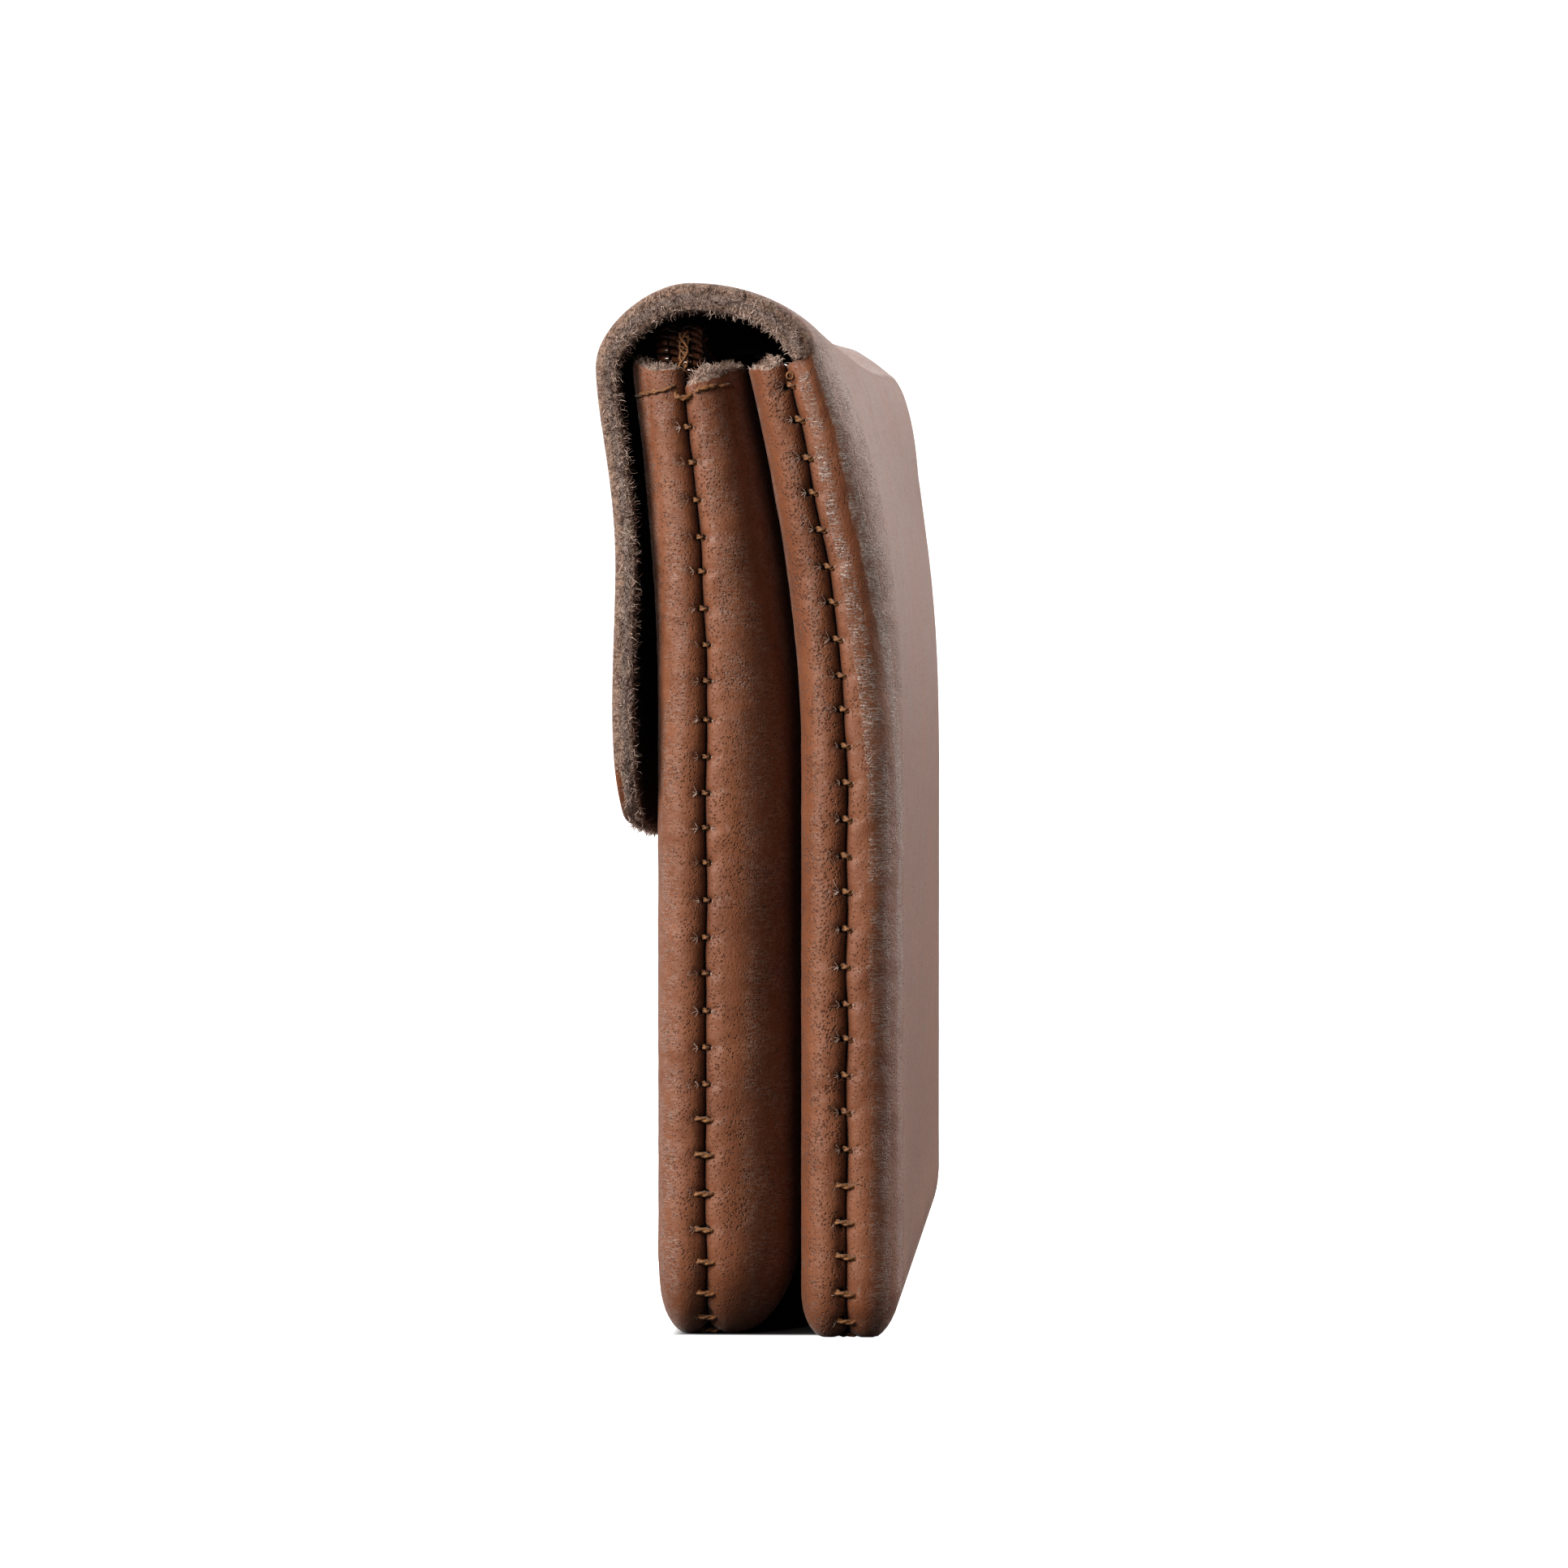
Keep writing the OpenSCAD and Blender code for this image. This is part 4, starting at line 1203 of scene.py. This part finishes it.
def seam_frame(p, hand, sigma, e):
    """A point of the seam, e in from the outline, and the way out of it."""
    side = p.top - p.foot
    cr = max(p.foot - e, LEAST_CORNER)
    turned = min(max((sigma - side) / p.foot, 0), math.pi / 2)
    if sigma <= side:
        x, z = HALF - e, p.top - sigma
        if z < SIDE_LOW:
            z = SIDE_LOW + (e + cr - SIDE_LOW) * (SIDE_LOW - z) / (SIDE_LOW - p.foot)
    else:
        z = e + cr * (1 - math.sin(turned))
        x = HALF - e - cr * (1 - math.cos(turned)) - max(0.0, sigma - side - p.foot * math.pi / 2)
    y = float(p.seam(np.array(z)) + wander(p, np.array(sigma), hand))
    low = FOOT_CUT * (1 - float(smooth(z / 60)))
    return np.array([hand * x, y, max(z - low, 0.32)]), np.array([hand * math.cos(turned), 0, -math.sin(turned)])


def sewn(p):
    """Each stitch of a seam: its point, the way out, its number from the top and how far it strays."""
    whole = p.top - p.foot + p.foot * math.pi / 2 + HALF - p.foot
    found = []
    for hand in (-1, 1):
        for turn in range(int((whole - p.first) / PITCH) + 1):
            sigma, stray = stitch_at(p, hand, turn)
            if sigma < whole - 0.6:
                found.append((float(sigma), hand, float(stray)))
    return found


def thread_path(points):
    t = np.linspace(0, 1, len(points))
    fine = np.linspace(0, 1, 9)
    return np.stack([np.interp(fine, t, np.array(points)[:, i]) for i in range(3)], -1)


# X runs across the seam towards the back, Z out of it.
HOOKED = thread_path([
    (-0.4, 0.14, -0.75), (-0.3, 0.1, -0.3), (-0.12, 0.02, 0.0), (0.1, -0.08, 0.12), (0.3, -0.1, 0.06),
    (0.44, -0.02, -0.35)])
SHORT = thread_path([
    (-0.34, 0.16, -0.75), (-0.25, 0.1, -0.3), (-0.1, 0.03, -0.08), (0.1, -0.04, -0.06), (0.26, -0.08, -0.25),
    (0.34, -0.1, -0.75)])
WIDE = thread_path([
    (-1.0, 0.1, -0.45), (-0.86, 0.08, 0.05), (-0.35, 0.0, 0.16), (0.35, -0.03, 0.16), (0.84, -0.06, 0.05),
    (0.98, -0.08, -0.45)])
PROTO_HOOKED = prototype("proto_hooked", *twisted(HOOKED, 0.21, 1.3))
PROTO_SHORT = prototype("proto_short", *twisted(SHORT, 0.19, 1.3))
PROTO_WIDE = prototype("proto_wide", *twisted(WIDE, 0.23, 2.0))
PROTO_RUN = prototype("proto_run", *twisted(arc(2.1, 0.28), THREAD, 2.4))


def frayed_tuft(seed):
    rng = np.random.default_rng(seed)
    parts = []
    for _ in range(5):
        long, turn, rise = rng.uniform(0.4, 1.1), rng.uniform(-1.1, 1.1), rng.uniform(0.02, 0.14)
        t = np.linspace(0, 1, 5)
        bend = rng.uniform(-0.4, 0.4)
        path = np.stack([long * t * math.cos(turn), long * t * math.sin(turn) + bend * t * t,
                         -0.12 + (rise + 0.12) * np.sin(math.pi * np.minimum(1, t * 1.2) * 0.6)], -1)
        parts.append(tube(path, 0.038 * (1 - 0.7 * t), 3))
    return gathered(parts)


TUFTS = [prototype("proto_tuft_%d" % i, *frayed_tuft(40 + i)) for i in range(4)]


def joined(name, meshes):
    bm = bmesh.new()
    for m in meshes:
        bm.from_mesh(m)
    data = bpy.data.meshes.new(name)
    bm.to_mesh(data)
    bm.free()
    return smoothed(data)


def set_pieces(name, chosen, material, jitter=0.08):
    """chosen: for each prototype the places, turns and sizes of its copies."""
    meshes = []
    for k, (proto, rows) in enumerate(chosen):
        if rows:
            places, turns, sizes = zip(*rows)
            meshes.append(grown("%s_%d" % (name, k), points_mesh(name, places, turns, sizes), SET_ON_POINTS,
                                Piece=proto, Size_jitter=jitter, Seed=k + 3, Finish=material))
    return add(name, joined(name, meshes), material)


across_seam = np.array([0, 1.0, 0])
for name, p, small, node in (
    ("stitches_rear_seam", BACK, PROTO_HOOKED, "rear_seam_thread"),
    ("stitches_front_seam", FRONT_BACK, PROTO_SHORT, "front_seam_thread"),
):
    rows_small, rows_wide, tufts = [], [], ([], [], [], [])
    for sigma, hand, stray in sewn(p):
        wide = sigma > p.top - p.foot - 9.5
        deep = 0.42 if wide else 0.46 if p is BACK else 0.56
        point, out = seam_frame(p, hand, sigma, deep)
        lean_way = across_seam + np.cross(out, across_seam) * (0.12 * stray)
        (rows_wide if wide else rows_small).append((point, turn_to(lean_way, out), (1, 1, 1)))
        for side in (-1, 1):
            at, _ = seam_frame(p, hand, sigma, 0.2)
            size = 0.4 + 0.5 * abs(stray) + (0.2 if wide else 0)
            if side > 0 and not wide:
                size *= 0.6
            off = side * across_seam * (0.85 if wide else 0.55 if side < 0 else 0.42)
            turn = turn_to(side * across_seam, out + 0.2 * side * across_seam)
            tufts[(int(stray * 50) + side) % 4].append((at + off, turn, (size, size, size)))
    piece = set_pieces(name, [(small, rows_small), (PROTO_WIDE, rows_wide)], THREAD_FINISH)
    settle(piece, "pouch", "thread", node)
    piece = set_pieces(name.replace("stitches", "frayed_holes"), list(zip(TUFTS, tufts)), PALE_FIBRE)
    settle(piece, "pouch", "pocket_leather")


def on_edge(p, z, angle, lift=0.12, hand=1):
    """The point at height z on a rolled edge of a panel, lifted off it."""
    rad = math.radians(angle)
    e = p.crisp * GROOVE * (1 - math.cos(rad)) if angle < 0 else p.roll * (1 - math.cos(rad))
    x, zz = np.array([hand * (HALF - e)]), np.array([float(z)])
    for _ in range(5):
        depth = depth_of(p, x, zz)[2]
        d = np.maximum(SEAM_GAP, LOBE * (1 + math.sin(rad))) if angle < 0 else LOBE + (depth - LOBE) * math.sin(rad)
        point = lay(p, x, zz, d, 0.0, p.top - zz, np.array([hand]))[0]
        zz = zz + z - point[2]
    return point + lift * np.array([hand * math.cos(rad), p.side * math.sin(rad), 0])


for name, p, node in (
    ("stitches_mouth_front", FRONT, "mouth_thread_front"),
    ("stitches_mouth_back", FRONT_BACK, "mouth_thread_back"),
):
    rows = []
    for i in range(-16, 17):
        x = np.array([PITCH * i])
        sag = p.sag * (1 - min(1, abs(x[0]) / (HALF - 4)) ** 8)
        z = p.top + p.rise - FOOT_CUT - 2.3 - sag
        swell = p.side * p.bulge * (1 - (abs(x[0]) / (HALF - p.roll)) ** 2) * math.sin(math.pi * min(1, (z - 10) / 64))
        y = float(p.face(np.array(z))) + swell + p.side * 0.08
        rows.append(((x[0], y, z), turn_to((1, 0, 0), (0, p.side, 0)), (1, 1, 1)))
    strands = []
    for hand in (-1, 1):
        if p is FRONT:
            over = [on_edge(p, 73.0 + 0.6 * (62 - a) / 80, a, 0.14, hand) for a in (62, 48, 34, 20, 6, -8, -22)]
            strands.append(twisted(over, 0.18, 3.5))
            seam_y = float(p.seam(np.array(73.0)))
            loop = [(0.75, -0.55, 73.5), (0.2, -0.78, 73.3), (0.1, -0.6, 72.95), (0.02, -0.1, 72.8),
                    (0.08, 0.45, 72.95), (0.25, 0.7, 73.2), (0.8, 0.62, 73.45)]
            strands.append(twisted([(hand * (HALF - e), seam_y + off, z) for e, off, z in loop], 0.24, 2.5))
        else:
            over = [on_edge(p, 73.3 + 0.5 * (a + 22) / 41, a, 0.16, hand) for a in (-22, -8, 4, 12, 19)]
            strands.append(twisted(over, 0.21, 2.6))
            strands.append(twisted([on_edge(p, 73.4 + 0.03 * a / 2, a, 0.12, hand) for a in (23, 30, 38)], 0.16, 2.0))
    run = set_pieces(name + "_run", [(PROTO_RUN, rows)], THREAD_FINISH)
    data = joined(name, [run.data, mesh_of(name + "_ends", *gathered(strands))])
    bpy.data.objects.remove(run)
    piece = add(name, data, THREAD_FINISH)
    settle(piece, "pouch", "thread", node)

# ---------------------------------------------------------------- the zip


def coil_path(x):
    """The line of the closed coils: straight along the mouth, standing up at each end before it is tucked in."""
    a = np.abs(x)
    hump = np.where(x > 0, 2.2, 0.9) * np.exp(-(((a - 50.2) / 1.5) ** 2))
    return COIL_LOW + COIL_H / 2 + hump - 2.6 * smooth((a - 51.6) / 1.9)


def zip_line(x):
    """The coils lean towards the front where they stand up."""
    return ZIP_Y - 0.75 * np.exp(-(((np.abs(x) - 51.0) / 1.8) ** 2))


TOOTH_PITCH = 0.66
TOOTH_HALF = 0.82
TAPE_T = 0.3
turn_t = np.linspace(0, 2 * math.pi, 11)
tooth = np.stack([
    TOOTH_PITCH * turn_t / (2 * math.pi) - TOOTH_PITCH / 2, TOOTH_HALF * np.sin(turn_t), 0.46 * np.cos(turn_t)], -1)
PROTO_TOOTH = prototype("proto_tooth", *tube(tooth, 0.25, 6, False))
fine_x = np.linspace(-ZIP_END, ZIP_END, 4001)
fine_z = coil_path(fine_x)
coil_way = np.concatenate([[0], np.cumsum(np.hypot(np.diff(fine_x), np.diff(fine_z)))])
for name, sign, node in (("zip_teeth_front", -1, "zip_coil_front"), ("zip_teeth_back", 1, "zip_coil_back")):
    rows = []
    for s in np.arange(TOOTH_PITCH * (0.5 if sign < 0 else 1.0), coil_way[-1], TOOTH_PITCH):
        x, z = np.interp(s, coil_way, fine_x), np.interp(s, coil_way, fine_z)
        x2, z2 = np.interp(s + 0.1, coil_way, fine_x), np.interp(s + 0.1, coil_way, fine_z)
        along = np.array([x2 - x, 0, z2 - z])
        rows.append(((x, zip_line(x) + sign * TOOTH_HALF, z), turn_to(along, (-along[2], 0, along[0])), (1, 1, 1)))
    piece = set_pieces(name, [(PROTO_TOOTH, rows)], NYLON, 0.02)
    settle(piece, "pouch", "zip_coil", node)

# The tapes hang from the coils and are sewn inside the mouth; at each end they stand up behind the coil.
for name, sign, node in (("tape_front", -1, "zip_tape_front"), ("tape_back", 1, "zip_tape_back")):
    profile = [(1.15, 1.35), (1.75, 0.8), (2.1, -0.75), (2.35, -1.9), (2.35, -5), (2.2, -8.6)]
    xs = np.concatenate([np.linspace(-52.2, -47, 12), np.linspace(-45, 45, 37), np.linspace(47, 52.2, 12)])
    grid = []
    for x in xs:
        stand = float(np.clip(coil_path(np.array(x)) - COIL_LOW - COIL_H / 2, 0, None))
        draw = 1.2 * float(smooth((abs(x) - 47.5) / 4))
        row = []
        for d, z in profile:
            y = (zip_line(x) if z > -2 else ZIP_Y) + sign * (d - 0.35 * draw * (d > 1.5))
            tucked = 0.75 * (z > 0) * (1 - stand / 2.1) * 1.2
            row.append((x, y, COIL_LOW + z - tucked + stand * (0.75 if z > 0 else 0.35 * (z > -2))))
        grid.append(row)
    grid = np.array(grid)
    grid[..., 1] += 0.05 * ripple(grid, 2.5, 70 + sign)
    side_grid = grid + np.array([0, -sign * TAPE_T, 0])
    skin = Skin()
    skin.patch(grid)
    skin.patch(side_grid)
    skin.patch(np.stack([
        np.concatenate([g[0], g[1:, -1], g[-1, ::-1][1:], g[::-1, 0][1:]]) for g in (grid, side_grid)
    ]))
    piece = add(name, skin.mesh(name), TAPE)
    settle(piece, "pouch", "zip_tape", node)
    fuzz = []
    for g in (grid, side_grid):
        fuzz += [g[:9, :3], g[-9:, :3]]
    fuzz = grown("tape_fuzz" + name[4:], surface_mesh("under_fuzz", fuzz), STAND_FIBRES, Density=26e6, Length=0.55 * MM,
                 Radius=0.028 * MM, Lean=1.3, Seed=12, Finish=TAPE)
    fuzz_piece = add("fuzz_" + name, fuzz)
    settle(fuzz_piece, "pouch", "zip_tape")

# Thread chains hold the coils' ends, and wraps close the zip at both ends.
chains = []
rng = np.random.default_rng(21)
for hand in (-1, 1):
    for i in range(3):
        t = np.linspace(0, 1, 9)
        x = hand * (51.9 + 1.2 * t + 0.25 * i)
        y = ZIP_Y - 0.3 + 0.36 * np.sin(2 * math.pi * (1.3 * t + i / 3))
        z = 78.0 - 3.3 * t + 0.1 * rng.uniform(-1, 1, 9)
        chains.append(tube(np.stack([x, y, z], -1), 0.1, 5))
    for i in range(7):
        z = 77.7 - 0.42 * i
        start = np.array([hand * (52.2 + 0.15 * i), ZIP_Y - 0.72 + 0.2 * rng.uniform(-1, 1), z])
        stop = start + [hand * 0.2, 0.85 + 0.2 * rng.uniform(-1, 1), -0.35]
        chains.append(tube(thread_path([start, (start + stop) / 2 + [hand * 0.15, 0, 0.1], stop]), 0.07, 4))
    for i in range(3):
        x = hand * (46.2 + 0.55 * i)
        top = COIL_LOW + COIL_H + 0.12
        wrap = [(x, ZIP_Y - 1.75, top - 1.0), (x, ZIP_Y - 1.5, top - 0.1), (x, ZIP_Y - 0.5, top + 0.12),
                (x, ZIP_Y + 0.5, top + 0.12), (x, ZIP_Y + 1.5, top - 0.1), (x, ZIP_Y + 1.75, top - 1.0)]
        chains.append(twisted(thread_path(wrap), 0.24, 3))
piece = add("zip_end_threads", mesh_of("zip_end_threads", *gathered(chains)), THREAD_FINISH)
settle(piece, "pouch", "thread", "zip_end_tacks")
# The knotted end of the rear seam's thread.
ring_t = np.linspace(0, 2 * math.pi, 13)[:-1]
knots = []
for hand in (-1, 1):
    centre = on_edge(BACK, 74.55, -60, 0.1, hand)
    ring = np.stack([
        0 * ring_t + centre[0] + hand * 0.25, centre[1] + 0.25 * np.cos(ring_t), centre[2] + 0.27 * np.sin(ring_t)], -1)
    knots.append(tube(np.concatenate([ring, ring[:1]]), 0.085, 5))
piece = add("rear_seam_knots", mesh_of("rear_seam_knots", *gathered(knots)), THREAD_FINISH)
settle(piece, "pouch", "thread")

# ---------------------------------------------------------------- metal parts and the thread that joins the pockets


def softened(name, node, body, slot, material, width):
    """The solid part with its edges rounded."""
    data = frame["nodes"][node].data.copy()
    data.materials.clear()
    bm = bmesh.new()
    bm.from_mesh(data)
    bmesh.ops.remove_doubles(bm, verts=bm.verts, dist=0.002 * MM)
    bmesh.ops.dissolve_limit(bm, angle_limit=math.radians(1), verts=bm.verts, edges=bm.edges)
    bm.to_mesh(data)
    bm.free()
    piece = add(name, data, material)
    soft = piece.modifiers.new("soft", "BEVEL")
    soft.width, soft.segments, soft.limit_method, soft.angle_limit = width * MM, 3, "ANGLE", math.radians(35)
    soft.harden_normals = True
    smoothed(data)
    settle(piece, body, slot, node)


for node, body, slot, material, width in (
    ("slider_body", "slider", "zip_metal", ZIP_BRASS, 0.12), ("slider_bail", "slider", "zip_metal", ZIP_BRASS, 0.12),
    ("pull_tab", "pull", "zip_metal", ZIP_BRASS, 0.1), ("snap_cap", "flap", "stud_metal", BRASS, 0.08),
    ("snap_socket", "flap", "stud_metal", BRASS, 0.1), ("snap_stud", "pouch", "stud_metal", BRASS, 0.1),
    ("snap_post", "pouch", "stud_metal", BRASS, 0.1),
):
    softened(node + "_metal", node, body, slot, material, width)
joining = frame["nodes"]["joining_thread"]
joining.data.materials.clear()
joining.data.materials.append(THREAD_FINISH)

# ---------------------------------------------------------------- the floor, light and camera

floor = add("floor", mesh_of("floor", [(-3000, -3000, 0), (3000, -3000, 0), (3000, 3000, 0), (-3000, 3000, 0)],
                             [[0, 1, 2, 3]], False))
n, dress, where = new_material("pale_floor")
# Clear of the case's footprint the floor shines for the camera; under the case's footprint it is painted dark, a
# painted contact shadow.
beside = abs(n.part(where, "Y") - 0.001) - 0.0062
beyond = abs(n.part(where, "X")) - 0.049
white_outside_painted_shadow = n.camera_ray() * n.ramp(beside | beyond, 0.0, 0.0025)
floor.data.materials.append(dress(
    Roughness=0.9, Specular_IOR_Level=0.1, Emission_Color=(1, 1, 1, 1), Emission_Strength=white_outside_painted_shadow * 0.8,
    Base_Color=n.mix(white_outside_painted_shadow, (0.1, 0.1, 0.1), (0.9, 0.9, 0.9)),
))
floor.location.z = -0.00002

world = bpy.data.worlds.new("studio")
world.use_nodes = True
n = Nodes(world.node_tree)
background = world.node_tree.nodes["Background"]
background.inputs[0].default_value = (1, 1, 1, 1)
# A white tent that is open on the side from which the case is seen.
sky = n.part(n.out("ShaderNodeTexCoord", (), "Generated"), "X")
n.feed(background.inputs[1], n.ramp(sky, -0.3, 0.12, 1.15, 0.02) | n.camera_ray())
scene.world = world
scene.view_settings.view_transform = "Standard"
scene.view_settings.look = "Medium High Contrast"


def softbox(name, place, target, size, energy):
    data = bpy.data.lights.new(name, "AREA")
    data.shape, data.size, data.energy = "SQUARE", size, energy
    box = bpy.data.objects.new(name, data)
    scene.collection.objects.link(box)
    box.location = place
    box.rotation_euler = (Vector(target) - Vector(place)).to_track_quat("-Z", "Y").to_euler()


softbox("key", (0.55, -0.6, 0.38), (0.05, 0, 0.04), 0.4, 8.6)
softbox("rear", (-0.42, 0.62, 0.36), (0, 0, 0.04), 0.5, 4.2)
softbox("glint", (0.55, -0.15, 0.22), (0.05, 0, 0.077), 0.05, 0.6)

cam_data = bpy.data.cameras.new("camera")
cam_data.lens = 181.6
cam_data.sensor_width = 36
cam_data.clip_start = 0.01
camera = bpy.data.objects.new("camera", cam_data)
scene.collection.objects.link(camera)
camera.location = (0.664, 0.0311, 0.0612)
camera.rotation_euler = Vector((-1, -0.0470, -0.02976)).to_track_quat("-Z", "Y").to_euler()
scene.camera = camera

for spare in [o for o in scene.objects if o.name.startswith("proto_")]:
    bpy.data.objects.remove(spare)
